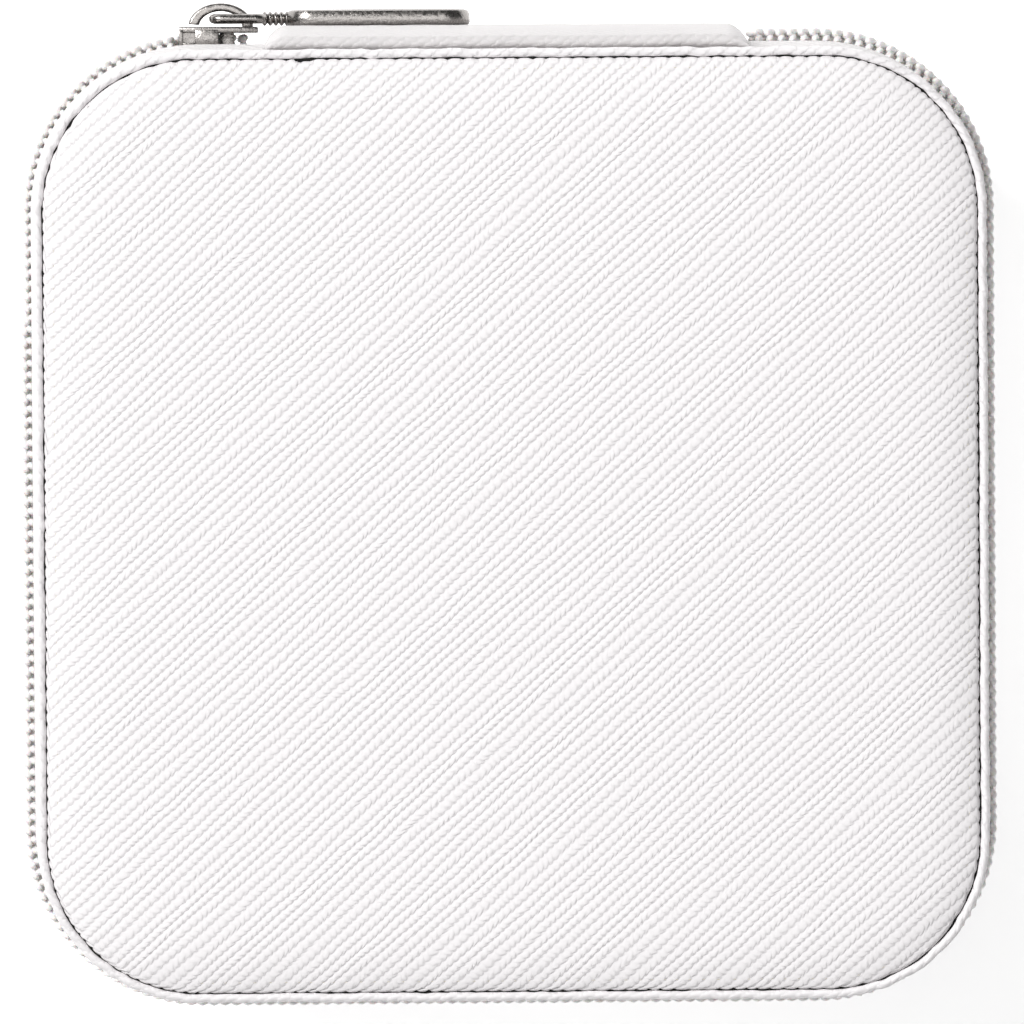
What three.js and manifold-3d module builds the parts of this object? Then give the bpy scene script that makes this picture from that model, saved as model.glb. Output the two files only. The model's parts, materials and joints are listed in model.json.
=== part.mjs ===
// Square zip-up travel jewelry box: a padded lid on a soft spine, over a base that holds
// ring rolls and three compartments. A coil zip runs round it from one end of the spine to
// the other.
// Millimetres. +Z is up, +Y points to the spine, the origin is the centre of the underside.
// Seen from above every wall is a rounded square, and all of them share four corner centres.
import * as THREE from 'three';
import { mergeVertices } from 'three/addons/utils/BufferGeometryUtils.js';
import Module from 'manifold-3d';

const wasm = await Module();
wasm.setup();

// ---- driving dimensions -----------------------------------------------------------------

// the case
const BOX_HALF = 48; // centre to the outer face of a side wall
const BASE_HEIGHT = 25; // underside to the zip's line
const LID_HEIGHT = 25; // zip's line to the top
const CORNER_RADIUS = 16; // outer face of the side walls, seen from above
const WALL_THICKNESS = 1.5; // card with leather round it
const PANEL_THICKNESS = 1.8; // the padded panels on top and underneath
const PANEL_ROLL = 0.8; // radius of a panel's rolled edge
const COVER_SKIN = 0.6; // leather over the lid's foam
const BASE_BOARD = 1.2;
const LID_BOARD = 2;
const PIPING_RADIUS = 0.6;
const PIPING_INSET = 0.2; // piping centre, in from the walls' outer face
const PIPING_BREAK = 1; // between the piping's two ends at the back
const PIPING_SEAT = 0.1; // piping centre, past the panel's inner face

// the zip
const TAPE_SHOWN = 6; // tape between a wall's edge and the zip's line
const TAPE_TUCK = 2; // tape that overlaps the wall
const TAPE_THICKNESS = 0.5;
const TAPE_PARTING = 0.6; // tape's edge to the zip's line
const COIL_THICKNESS = 1.2;
const COIL_WIDTH = 1.9;
const COIL_PARTING = 0.5; // coil's edge to the zip's line

// the spine, which is also the lid's hinge
const SPINE_THICKNESS = 1.2;
const SPINE_BULGE = 1.9;
const SPINE_MARGIN = 3; // from the box's top and bottom
const HINGE_RISE = 4; // crease above the zip's line
const CREASE_GAP = 0.4;

// the zip's slider, in its own frame: x along the zip from the corner's centre, y outwards
const SLIDER_TAIL = -1.9;
const SLIDER_NOSE = 6.3;
const SLIDER_HALF = 3.3; // half its height
const SLIDER_PLATE = 0.6;
const SLIDER_FLANGE_END = 2.2;
const SLIDER_FLANGE = 0.6;
const INNER_PLATE = 0.5;
const INNER_PLATE_END = 3.8;
const BLADE_LENGTH = 1.5;
const BLADE_THICKNESS = 0.6;
const CROWN_WIDTH = 1.6;
const CROWN_THICKNESS = 0.85;
const CROWN_HEIGHT = 2.5;
const CROWN_START = -1;
const CROWN_END = 5.8;
const CROWN_FOOT_GAP = 0.25; // under the crown's free foot

// the slider's pull
const PULL_PIVOT = 1.7; // from the corner's centre, along the zip
const PULL_WIRE = 0.5; // radius of the loop's wire
const PULL_LOOP_LENGTH = 5.1;
const PULL_LOOP_HALF = 1.7;
const PULL_NECK_RADIUS = 0.7;
const PULL_NECK_LENGTH = 2.9;
const PULL_BAR_LENGTH = 18.4;
const PULL_BAR_WIDTH = 5.5;
const PULL_BAR_THICKNESS = 1.5;

// the base's inside
const LINER_THICKNESS = 1.6;
const LINER_LIP = 8; // liner above the zip's line
const FLOOR_VELVET = 0.8;
const ROLL_COUNT = 7;
const ROLL_GAP = 0.9; // slot between two rolls, where a ring goes
const ROLL_HEIGHT = 15.5;
const ROLL_FOOT_RADIUS = 1;
const DIVIDER_OFFSET = 1.65; // long divider's centre, left of the middle
const DIVIDER_THICKNESS = 1.5;
const DIVIDER_HEIGHT = 18.2;
const COMPARTMENTS = 3;

// the lid's inside
const LID_VELVET = 1.2;
const POCKET_SIDE_MARGIN = 6.6;
const POCKET_BACK_MARGIN = 4.6;
const POCKET_DEPTH = 34;
const POCKET_STAND = 2.8; // pocket's face below the lining
const POCKET_CLOTH = 0.8;
const HEM_WIDTH = 2;
const HEM_THICKNESS = 1.2;
const STRAP_WIDTH = 9;
const STRAP_LENGTH = 18;
const STRAP_THICKNESS = 1.2;
const STRAP_PITCH = 24;
const STRAP_MARGIN = 8.6; // strap's fold, in from the liner's inner face
const TAB_LENGTH = 4.2;
const TAB_GAP = 0.8; // between the sewn tab and the strap's fold
const SNAP_INSET = 5; // snap's centre from the strap's free end
const CAP_RADIUS = 3.5;
const CAP_HEIGHT = 1.2;
const STUD_RADIUS = 2.5;
const STUD_HEIGHT = 0.8;

// clearances and facets
const SEWN_GAP = 0.1;
const FIT_GAP = 0.3;
const ARC_STEPS = 4; // three.js makes twice as many segments of each arc
const ROUND_SEGMENTS = 24;

// ---- worked-out dimensions --------------------------------------------------------------

const cornerCentre = BOX_HALF - CORNER_RADIUS;
const zipLevel = BASE_HEIGHT;
const boxHeight = BASE_HEIGHT + LID_HEIGHT;

const wallInner = BOX_HALF - WALL_THICKNESS;
const pipingSquare = BOX_HALF - PIPING_INSET;
const pipingLow = PANEL_THICKNESS - PIPING_SEAT;
const pipingHigh = boxHeight - pipingLow;
const wallMargin = pipingLow + PIPING_RADIUS + SEWN_GAP;
const panelHalf = pipingSquare - PIPING_RADIUS - SEWN_GAP;

const linerOuter = wallInner - FIT_GAP;
const wellHalf = linerOuter - LINER_THICKNESS;
const boardTop = PANEL_THICKNESS + BASE_BOARD;
const floorTop = boardTop + FLOOR_VELVET;
const linerTop = zipLevel + LINER_LIP;
const lidBoardLow = boxHeight - PANEL_THICKNESS - LID_BOARD;
const lidLiningLow = lidBoardLow - LID_VELVET;

const tapeInner = BOX_HALF + FIT_GAP;
const tapeOuter = tapeInner + TAPE_THICKNESS;
const coilInner = tapeOuter + SEWN_GAP;
const coilOuter = coilInner + COIL_THICKNESS;

const sliderTail = -cornerCentre + SLIDER_TAIL;
const sliderNose = -cornerCentre + SLIDER_NOSE;
const spineHalf = cornerCentre - SLIDER_NOSE - 2 * FIT_GAP - SEWN_GAP;
const spineEdge = BOX_HALF + SEWN_GAP + SPINE_THICKNESS;
const spineTop = spineEdge + SPINE_BULGE;
const hinge = new THREE.Vector3(0, spineTop + SEWN_GAP, zipLevel + HINGE_RISE);

// ---- materials --------------------------------------------------------------------------

const material = (color, roughness, metalness = 0) =>
  new THREE.MeshStandardMaterial({ color, roughness, metalness });

const leather = material(0xf6f5f2, 0.5);
const pipingLeather = material(0xf8f7f4, 0.5);
const board = material(0x1c1b1a, 0.9);
const foam = material(0xe6e0cc, 0.95);
const tape = material(0xeceae5, 0.9);
const coil = material(0xf4f3f0, 0.4);
const nickel = material(0xc9c8c4, 0.2, 1);
const velvet = material(0xe9e4da, 0.95);
const satin = material(0xe6e1d8, 0.6);
const elastic = material(0xefece6, 0.85);

// ---- geometry helpers -------------------------------------------------------------------

// The outline that every wall follows: a rounded square, half as wide as `half`.
function outline(half, path = new THREE.Shape()) {
  const radius = half - cornerCentre;
  path.absarc(cornerCentre, cornerCentre, radius, 0, Math.PI / 2);
  path.absarc(-cornerCentre, cornerCentre, radius, Math.PI / 2, Math.PI);
  path.absarc(-cornerCentre, -cornerCentre, radius, Math.PI, 1.5 * Math.PI);
  path.absarc(cornerCentre, -cornerCentre, radius, 1.5 * Math.PI, 2 * Math.PI);
  path.closePath();
  return path;
}

// A shape pulled straight up from `low` to `high`, its edges rolled by `roll`.
function raise(shape, low, high, roll = 0) {
  const geometry = new THREE.ExtrudeGeometry(shape, {
    depth: high - low - 2 * roll,
    curveSegments: ARC_STEPS,
    bevelEnabled: roll > 0,
    bevelThickness: roll,
    bevelSize: roll,
    bevelOffset: -roll,
    bevelSegments: 2,
  });
  return geometry.translate(0, 0, low + roll);
}

// A rounded-square slab.
const slab = (half, low, high, roll) => raise(outline(half), low, high, roll);

// A rounded-square wall between two outlines.
function ring(inner, outer, low, high, roll) {
  const shape = outline(outer);
  shape.holes.push(outline(inner, new THREE.Path()));
  return raise(shape, low, high, roll);
}

// A shape drawn in y and z, run along x.
function alongX(shape, from, to) {
  const turn = new THREE.Matrix4().makeBasis(
    new THREE.Vector3(0, 1, 0),
    new THREE.Vector3(0, 0, 1),
    new THREE.Vector3(1, 0, 0),
  );
  const geometry = new THREE.ExtrudeGeometry(shape, {
    depth: to - from,
    curveSegments: ARC_STEPS,
    bevelEnabled: false,
  });
  return geometry.applyMatrix4(turn).translate(from, 0, 0);
}

// A box given by its two ends along each axis.
function block([x0, x1], [y0, y1], [z0, z1]) {
  const geometry = new THREE.BoxGeometry(x1 - x0, y1 - y0, z1 - z0);
  return geometry.translate((x0 + x1) / 2, (y0 + y1) / 2, (z0 + z1) / 2);
}

// A round bar along z, centred on x and y.
function rod(radius, x, y, low, high) {
  const geometry = new THREE.CylinderGeometry(radius, radius, high - low, ROUND_SEGMENTS);
  return geometry.rotateX(Math.PI / 2).translate(x, y, (low + high) / 2);
}

function toSolid(geometry) {
  const bare = geometry.clone();
  bare.deleteAttribute('normal');
  bare.deleteAttribute('uv');
  const merged = mergeVertices(bare);
  return new wasm.Manifold(
    new wasm.Mesh({
      numProp: 3,
      vertProperties: merged.attributes.position.array,
      triVerts: new Uint32Array(merged.index.array),
    }),
  );
}

function toGeometry(solid) {
  const { vertProperties, triVerts } = solid.getMesh();
  const geometry = new THREE.BufferGeometry();
  geometry.setAttribute('position', new THREE.BufferAttribute(vertProperties, 3));
  geometry.setIndex(new THREE.BufferAttribute(triVerts, 1));
  const faceted = geometry.toNonIndexed();
  faceted.computeVertexNormals();
  return faceted;
}

const combine = (how, first, ...others) =>
  toGeometry(others.reduce((solid, other) => solid[how](toSolid(other)), toSolid(first)));
const cut = (...geometries) => combine('subtract', ...geometries);
const join = (...geometries) => combine('add', ...geometries);
const within = (...geometries) => combine('intersect', ...geometries);

// ---- the scene graph --------------------------------------------------------------------

// Groups stand where their joint turns, so turning a group moves its part of the box.
const box = new THREE.Group();
const base = new THREE.Group();
const lid = new THREE.Group();
lid.position.copy(hinge);
box.add(base, lid);

function add(parent, name, geometry, look) {
  const mesh = new THREE.Mesh(geometry, look);
  mesh.name = name;
  parent.add(mesh);
  return mesh;
}

// A piece of the lid, drawn in the box's frame.
const addToLid = (name, geometry, look) =>
  add(lid, name, geometry, look).position.copy(hinge).negate();

const reach = 2 * BOX_HALF; // long enough to cut right through the box

// ---- the case ---------------------------------------------------------------------------

// Piping lies on a seam and stops at the middle of the back, where its ends meet.
function piping(level) {
  const whole = ring(
    pipingSquare - PIPING_RADIUS,
    pipingSquare + PIPING_RADIUS,
    level - PIPING_RADIUS,
    level + PIPING_RADIUS,
    0.7 * PIPING_RADIUS,
  );
  const ends = block(
    [-PIPING_BREAK / 2, PIPING_BREAK / 2],
    [cornerCentre, reach],
    [level - 2 * PIPING_RADIUS, level + 2 * PIPING_RADIUS],
  );
  return cut(whole, ends);
}

// A panel whose outer edge is rolled and whose inner face is flat, drawn for the lid.
function coverPanel() {
  const low = boxHeight - PANEL_THICKNESS;
  const rolled = slab(panelHalf, low - 2 * PANEL_ROLL, boxHeight, PANEL_ROLL);
  return cut(rolled, block([-reach, reach], [-reach, reach], [0, low]));
}

function addCase() {
  const lidPanelLow = boxHeight - PANEL_THICKNESS;
  const foamHalf = panelHalf - COVER_SKIN - SEWN_GAP;
  const foamTop = boxHeight - COVER_SKIN - SEWN_GAP;
  const foamRoom = slab(panelHalf - COVER_SKIN, 0, boxHeight - COVER_SKIN, 0);
  const bottom = coverPanel().rotateX(Math.PI).translate(0, 0, boxHeight);

  add(base, 'base_bottom_panel', bottom, leather);
  add(base, 'base_board', slab(linerOuter, PANEL_THICKNESS, boardTop), board);
  add(base, 'base_piping', piping(pipingLow), pipingLeather);
  const baseWall = ring(wallInner, BOX_HALF, wallMargin, zipLevel - TAPE_SHOWN);
  add(base, 'base_wall', baseWall, leather);

  addToLid('lid_cover', cut(coverPanel(), foamRoom), leather);
  addToLid('lid_foam', slab(foamHalf, lidPanelLow, foamTop), foam);
  addToLid('lid_board', slab(linerOuter, lidBoardLow, lidPanelLow), board);
  addToLid('lid_piping', piping(pipingHigh), pipingLeather);
  const lidWall = ring(wallInner, BOX_HALF, zipLevel + TAPE_SHOWN, boxHeight - wallMargin);
  addToLid('lid_wall', lidWall, leather);
}

// ---- the zip ----------------------------------------------------------------------------

// The zip stops either side of the spine.
const spineRoom = () =>
  block([-spineHalf - FIT_GAP, spineHalf + FIT_GAP], [cornerCentre, reach], [0, boxHeight]);

// The lid's half of the zip is open round the parked slider, so that the lid can lift off it.
const sliderRoom = () =>
  block(
    [sliderTail - FIT_GAP - SEWN_GAP, -spineHalf],
    [cornerCentre, reach],
    [zipLevel, zipLevel + SLIDER_HALF + 2 * FIT_GAP],
  );

function addZip() {
  const tapeFar = TAPE_SHOWN + TAPE_TUCK;
  const coilFar = COIL_PARTING + COIL_WIDTH;
  const rows = {
    tape: [tapeInner, tapeOuter, TAPE_PARTING, tapeFar, tape],
    coil: [coilInner, coilOuter, COIL_PARTING, coilFar, coil],
  };
  for (const [name, [inner, outer, near, far, look]] of Object.entries(rows)) {
    const below = ring(inner, outer, zipLevel - far, zipLevel - near);
    const above = ring(inner, outer, zipLevel + near, zipLevel + far);
    add(base, `base_zip_${name}`, cut(below, spineRoom()), look);
    addToLid(`lid_zip_${name}`, cut(above, spineRoom(), sliderRoom()), look);
  }
}

// ---- the slider and its pull ------------------------------------------------------------

function sliderBody() {
  const plateInner = coilOuter - cornerCentre + FIT_GAP + SEWN_GAP;
  const plateOuter = plateInner + SLIDER_PLATE;
  const flangeTip = tapeOuter - cornerCentre + FIT_GAP;
  const backOuter = tapeInner - cornerCentre - 2 * FIT_GAP - 2 * SEWN_GAP;
  const backInner = backOuter - INNER_PLATE;
  const bladeStart = INNER_PLATE_END - BLADE_LENGTH;
  const plate = block(
    [SLIDER_TAIL, SLIDER_NOSE],
    [plateInner, plateOuter],
    [-SLIDER_HALF, SLIDER_HALF],
  );
  const back = block(
    [SLIDER_TAIL, INNER_PLATE_END],
    [backInner, backOuter],
    [-SLIDER_HALF, SLIDER_HALF],
  );
  const blade = block(
    [bladeStart, INNER_PLATE_END],
    [backInner, plateOuter],
    [-BLADE_THICKNESS / 2, BLADE_THICKNESS / 2],
  );
  const flanges = [-1, 1].map((side) =>
    block(
      [SLIDER_TAIL, SLIDER_FLANGE_END],
      [flangeTip, plateOuter],
      [side * SLIDER_HALF, side * (SLIDER_HALF - SLIDER_FLANGE)].sort((a, b) => a - b),
    ),
  );
  return { geometry: join(plate, back, blade, ...flanges), face: plateOuter };
}

// The crown is a strip bent into an arch: one foot fixed, the other just off the plate.
function crown(face) {
  const centre = (CROWN_START + CROWN_END) / 2;
  const span = (CROWN_END - CROWN_START) / 2;
  const innerSpan = span - CROWN_THICKNESS;
  const innerHeight = CROWN_HEIGHT - CROWN_THICKNESS;
  const outerEnd = Math.PI - Math.asin(CROWN_FOOT_GAP / CROWN_HEIGHT);
  const innerEnd = Math.PI - Math.asin(CROWN_FOOT_GAP / innerHeight);
  const arch = new THREE.Shape();
  arch.absellipse(centre, face, span, CROWN_HEIGHT, 0, outerEnd, false);
  arch.absellipse(centre, face, innerSpan, innerHeight, innerEnd, 0, true);
  arch.closePath();
  return raise(arch, -CROWN_WIDTH / 2, CROWN_WIDTH / 2);
}

// The pull in its own frame: the origin on its pivot, the bar along x.
function pull() {
  const loopEnd = PULL_LOOP_LENGTH;
  const barStart = loopEnd + PULL_NECK_LENGTH - PULL_WIRE;
  const barEnd = barStart + PULL_BAR_LENGTH;
  const halfLoop = PULL_LOOP_HALF + PULL_WIRE;
  const crossbars = [0, loopEnd].map((x) => rod(PULL_WIRE, x, 0, -halfLoop, halfLoop));
  const alongBar = (geometry, z) => geometry.rotateY(Math.PI / 2).translate(0, 0, z);
  const sides = [-PULL_LOOP_HALF, PULL_LOOP_HALF].map((z) =>
    alongBar(rod(PULL_WIRE, 0, 0, 0, loopEnd), z),
  );
  const neck = alongBar(rod(PULL_NECK_RADIUS, 0, 0, loopEnd, barStart + PULL_WIRE), 0);
  const face = new THREE.Shape();
  const round = PULL_BAR_WIDTH / 2;
  face.absarc(0, barStart + round, round, Math.PI, 2 * Math.PI);
  face.absarc(0, barEnd - round, round, 0, Math.PI);
  face.closePath();
  const bar = raise(face, -PULL_BAR_THICKNESS / 2, PULL_BAR_THICKNESS / 2);
  const turn = new THREE.Matrix4().makeBasis(
    new THREE.Vector3(0, 0, 1),
    new THREE.Vector3(1, 0, 0),
    new THREE.Vector3(0, 1, 0),
  );
  return join(bar.applyMatrix4(turn), neck, ...crossbars, ...sides);
}

function addSlider() {
  const slider = new THREE.Group();
  slider.position.set(-cornerCentre, cornerCentre, zipLevel);
  base.add(slider);
  const { geometry, face } = sliderBody();
  add(slider, 'slider_body', geometry, nickel);
  add(slider, 'slider_crown', crown(face), nickel);

  const tag = new THREE.Group();
  const pivotHeight = face + PULL_WIRE + FIT_GAP + SEWN_GAP / 2;
  tag.position.set(PULL_PIVOT, pivotHeight, 0);
  slider.add(tag);
  add(tag, 'pull_tag', pull(), nickel);
}

// ---- the spine --------------------------------------------------------------------------

// A bowed strip of leather across the back. The crease divides it into the part sewn to the
// base and the part sewn to the lid.
function addSpine() {
  const inner = spineEdge - SPINE_THICKNESS;
  const low = SPINE_MARGIN;
  const high = boxHeight - SPINE_MARGIN;
  const middle = (low + high) / 2;
  const bow = 2 * SPINE_BULGE; // a parabola's control point stands twice as far out as its top
  const section = new THREE.Shape();
  section.moveTo(inner, high);
  section.quadraticCurveTo(inner + bow, middle, inner, low);
  section.lineTo(spineEdge, low);
  section.quadraticCurveTo(spineEdge + bow, middle, spineEdge, high);
  section.closePath();
  const strip = alongX(section, -spineHalf, spineHalf);
  const span = [-reach, reach];
  const above = block(span, span, [hinge.z - CREASE_GAP / 2, reach]);
  const below = block(span, span, [-reach, hinge.z + CREASE_GAP / 2]);
  add(base, 'spine_lower', cut(strip, above), leather);
  addToLid('spine_upper', cut(strip, below), leather);
}

// ---- the base's inside ------------------------------------------------------------------

const dividerStart = -DIVIDER_OFFSET - DIVIDER_THICKNESS / 2;
const dividerEnd = -DIVIDER_OFFSET + DIVIDER_THICKNESS / 2;
const rollsStart = -wellHalf + FIT_GAP;
const rollsEnd = dividerStart - FIT_GAP;

// A ring roll's end view: flat below, half round on top.
function rollSection(centre, width) {
  const half = width / 2;
  const foot = ROLL_FOOT_RADIUS;
  const low = floorTop;
  const section = new THREE.Shape();
  section.absarc(centre, low + ROLL_HEIGHT - half, half, 0, Math.PI);
  section.absarc(centre - half + foot, low + foot, foot, Math.PI, 1.5 * Math.PI);
  section.absarc(centre + half - foot, low + foot, foot, 1.5 * Math.PI, 2 * Math.PI);
  section.closePath();
  return section;
}

function addRolls() {
  const pitch = (2 * wellHalf) / ROLL_COUNT;
  const width = pitch - ROLL_GAP;
  const room = slab(wellHalf - FIT_GAP, 0, boxHeight);
  for (let i = 0; i < ROLL_COUNT; i += 1) {
    const centre = (i - (ROLL_COUNT - 1) / 2) * pitch;
    const roll = alongX(rollSection(centre, width), rollsStart, rollsEnd);
    add(base, `ring_roll_${i + 1}`, within(roll, room), velvet);
  }
}

function addDividers() {
  const wall = wellHalf - FIT_GAP;
  const heights = [floorTop, floorTop + DIVIDER_HEIGHT];
  add(base, 'divider_long', block([dividerStart, dividerEnd], [-wall, wall], heights), velvet);
  const pitch = (2 * wellHalf) / COMPARTMENTS;
  for (let i = 1; i < COMPARTMENTS; i += 1) {
    const centre = i * pitch - wellHalf;
    const across = [centre - DIVIDER_THICKNESS / 2, centre + DIVIDER_THICKNESS / 2];
    const divider = block([dividerEnd + FIT_GAP, wall], across, heights);
    add(base, `divider_cross_${i}`, divider, velvet);
  }
}

function addBaseInside() {
  add(base, 'base_liner', ring(wellHalf, linerOuter, boardTop, linerTop), velvet);
  add(base, 'base_floor', slab(wellHalf - FIT_GAP, boardTop, floorTop), velvet);
  addRolls();
  addDividers();
}

// ---- the lid's inside -------------------------------------------------------------------

// A gathered pocket, sewn down on three sides, with its mouth towards the front.
function addPocket() {
  const half = wellHalf - POCKET_SIDE_MARGIN;
  const back = wellHalf - POCKET_BACK_MARGIN;
  const front = back - POCKET_DEPTH;
  const low = lidLiningLow - POCKET_STAND;
  const bag = block([-half, half], [front, back], [low, lidLiningLow]);
  const hollow = block(
    [-half + POCKET_CLOTH, half - POCKET_CLOTH],
    [front - POCKET_CLOTH, back - POCKET_CLOTH],
    [low + POCKET_CLOTH, boxHeight],
  );
  const hem = block([-half, half], [front - HEM_WIDTH, front], [low, low + HEM_THICKNESS]);
  addToLid('lid_pocket', cut(bag, hollow), satin);
  addToLid('pocket_elastic', hem, elastic);
}

// A strap's outline: straight from the fold, round at the free end.
function strapOutline() {
  const half = STRAP_WIDTH / 2;
  const shape = new THREE.Shape();
  shape.moveTo(half, SEWN_GAP);
  shape.absarc(0, STRAP_LENGTH - half, half, 0, Math.PI);
  shape.lineTo(-half, SEWN_GAP);
  shape.closePath();
  return shape;
}

// Necklace straps: each is sewn to the lining by a tab, folds there, and snaps on a stud.
function addStraps() {
  const foldY = -wellHalf + STRAP_MARGIN;
  const strapHigh = lidLiningLow - STUD_HEIGHT;
  const foldZ = strapHigh - STRAP_THICKNESS / 2;
  const snapAt = STRAP_LENGTH - SNAP_INSET;
  const tabEnd = foldY - TAB_GAP;
  const tabHeights = [strapHigh - STRAP_THICKNESS, lidLiningLow];
  ['left', 'middle', 'right'].forEach((side, i) => {
    const x = (i - 1) * STRAP_PITCH;
    const across = [x - STRAP_WIDTH / 2, x + STRAP_WIDTH / 2];
    const tab = block(across, [tabEnd - TAB_LENGTH, tabEnd], tabHeights);
    addToLid(`strap_tab_${side}`, tab, leather);
    const stud = rod(STUD_RADIUS, x, foldY + snapAt, strapHigh, lidLiningLow);
    addToLid(`snap_stud_${side}`, stud, nickel);

    const strap = new THREE.Group();
    strap.position.set(x, foldY, foldZ).sub(hinge);
    lid.add(strap);
    const half = STRAP_THICKNESS / 2;
    add(strap, `strap_${side}`, raise(strapOutline(), -half, half), leather);
    const cap = rod(CAP_RADIUS, 0, snapAt, -half - CAP_HEIGHT, -half);
    add(strap, `snap_cap_${side}`, cap, nickel);
  });
}

function addLidInside() {
  addToLid('lid_lining', slab(linerOuter, lidLiningLow, lidBoardLow), velvet);
  addPocket();
  addStraps();
}

addCase();
addZip();
addSlider();
addSpine();
addBaseInside();
addLidInside();

export default box;
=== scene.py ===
"""Square zip-up travel jewelry box in embossed white leather: the finish over its frame.

Builds each piece of the box by its own operator. Sizes are in metres; +Z is up, +Y points to
the spine, and the origin is the centre of the underside.
"""

import json
import math

import bmesh
import bpy
from bpy.props import FloatProperty, FloatVectorProperty, IntProperty, PointerProperty
from mathutils import Matrix, Vector, noise
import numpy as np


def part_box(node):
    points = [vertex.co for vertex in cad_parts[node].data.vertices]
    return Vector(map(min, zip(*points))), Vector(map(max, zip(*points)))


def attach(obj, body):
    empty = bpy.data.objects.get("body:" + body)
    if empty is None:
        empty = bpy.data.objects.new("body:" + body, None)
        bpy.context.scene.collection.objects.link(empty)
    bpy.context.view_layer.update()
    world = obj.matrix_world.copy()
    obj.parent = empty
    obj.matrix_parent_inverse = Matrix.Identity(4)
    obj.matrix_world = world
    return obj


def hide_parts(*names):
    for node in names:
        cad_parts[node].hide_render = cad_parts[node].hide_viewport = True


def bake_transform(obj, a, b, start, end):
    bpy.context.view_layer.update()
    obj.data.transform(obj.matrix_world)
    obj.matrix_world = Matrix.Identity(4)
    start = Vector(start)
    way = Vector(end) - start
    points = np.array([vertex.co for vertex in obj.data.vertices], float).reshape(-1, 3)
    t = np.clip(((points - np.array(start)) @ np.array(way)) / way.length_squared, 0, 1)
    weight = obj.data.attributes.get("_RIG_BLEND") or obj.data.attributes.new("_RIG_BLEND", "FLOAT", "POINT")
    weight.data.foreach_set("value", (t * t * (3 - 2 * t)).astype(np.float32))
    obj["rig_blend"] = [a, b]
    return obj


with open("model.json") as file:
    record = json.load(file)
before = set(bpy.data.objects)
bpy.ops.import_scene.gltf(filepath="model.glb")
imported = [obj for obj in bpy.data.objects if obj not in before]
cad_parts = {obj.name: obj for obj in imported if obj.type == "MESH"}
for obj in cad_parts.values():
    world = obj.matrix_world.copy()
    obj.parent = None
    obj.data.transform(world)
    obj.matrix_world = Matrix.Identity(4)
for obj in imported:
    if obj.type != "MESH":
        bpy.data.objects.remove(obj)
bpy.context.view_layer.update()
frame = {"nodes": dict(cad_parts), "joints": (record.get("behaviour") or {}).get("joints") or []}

bl_info = {
    "name": "Travel Jewelry Box",
    "version": (1, 0, 0),
    "blender": (4, 5, 0),
    "location": "View3D > Sidebar > Jewelry Box",
    "description": "Builds a square zip-up travel jewelry box piece by piece",
    "category": "Add Mesh",
}

MM = 0.001
RIDGE = (0.0, 0.62, 0.9, 1.0)  # heights across one ridge of the embossing, from groove to crest
RIDGE_DRIFT = 0.45  # how far a ridge wanders over centimetres, in ridges
RIDGE_RIPPLE = 0.12  # how far it wanders over millimetres, in ridges
CORNER_CUTS = 12  # flats that a corner of the lid's sheet is cut with
SIDES = ("left", "middle", "right")

# Places that the frame gives.
WALL_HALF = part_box("lid_wall")[1].x
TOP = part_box("lid_cover")[1].z
PIPING_LOW, PIPING_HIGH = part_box("lid_piping")
ZIP_LEVEL = (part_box("base_zip_coil")[1].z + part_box("lid_zip_coil")[0].z) / 2
COIL_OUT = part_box("lid_zip_coil")[1].x
TAPE_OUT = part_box("lid_zip_tape")[1].x
SPINE_LOW, SPINE_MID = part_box("spine_lower")
SPINE_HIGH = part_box("spine_upper")[1]
LINER_LOW, LINER_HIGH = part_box("base_liner")
LINING_LOW, LINING_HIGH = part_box("lid_lining")
POCKET_LOW, POCKET_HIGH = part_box("lid_pocket")
HEM_LOW, HEM_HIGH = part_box("pocket_elastic")
SLIDER_LOW, SLIDER_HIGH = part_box("slider_body")
CROWN_LOW, CROWN_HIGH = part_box("slider_crown")
PULL_LOW, PULL_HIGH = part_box("pull_tag")
JOINTS = {joint["name"]: joint for joint in frame["joints"]}
CORNER = JOINTS["slider_run"]["pos_m"][1]  # each corner's centre, from both middle lines


def linear(hex_colour):
    """An sRGB hex colour as a linear RGBA value."""
    parts = [int(hex_colour[i : i + 2], 16) / 255 for i in (1, 3, 5)]
    return (*[c / 12.92 if c <= 0.04045 else ((c + 0.055) / 1.055) ** 2.4 for c in parts], 1.0)


def size(name, default_mm, description):
    return FloatProperty(
        name=name, description=description, default=default_mm * MM, unit="LENGTH", precision=5
    )


def colour(name, hex_colour, description):
    return FloatVectorProperty(
        name=name, description=description, default=linear(hex_colour), size=4, subtype="COLOR"
    )


class JEWELRYBOX_PG_case(bpy.types.PropertyGroup):
    """The leather case: its panels, piping, walls and spine."""

    seam: size("Seam", 47.5, "Centre of the lid to the seam between its panel and the piping")
    seam_gap: size("Seam gap", 0.09, "Open width of that seam")
    piping_radius: size("Piping radius", 0.46, "Radius of the piping")
    piping_break: size("Piping break", 0.02, "Gap between the piping's ends behind the lid")
    edge_drop: size("Edge drop", 0.3, "How far the padded panel turns down at its very edge")
    edge_radius: size("Edge radius", 0.16, "How far in that turned edge reaches")
    pad_drop: size("Pad drop", 1.0, "How far the padding thins towards the edge")
    pad_reach: size("Pad reach", 2.6, "How far in the padding thins")
    wall_flare: size("Wall flare", 1.25, "How far a wall leans out at the zip")
    spine_edge: size("Spine edge", 0.62, "Radius of the spine's rolled edge")
    emboss_pitch: size("Emboss pitch", 0.93, "Distance between two ridges of the embossing")
    emboss_bead: size("Emboss bead", 0.76, "Length of one bead of a ridge")
    emboss_depth: size("Emboss depth", 0.088, "Depth of the embossing")
    ridge_depth: size("Ridge depth", 0.05, "Depth of the ridges that the lid's mesh holds")
    emboss_angle: FloatProperty(
        name="Emboss angle",
        description="Slope of the ridges",
        default=math.radians(42),
        subtype="ANGLE",
    )


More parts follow.
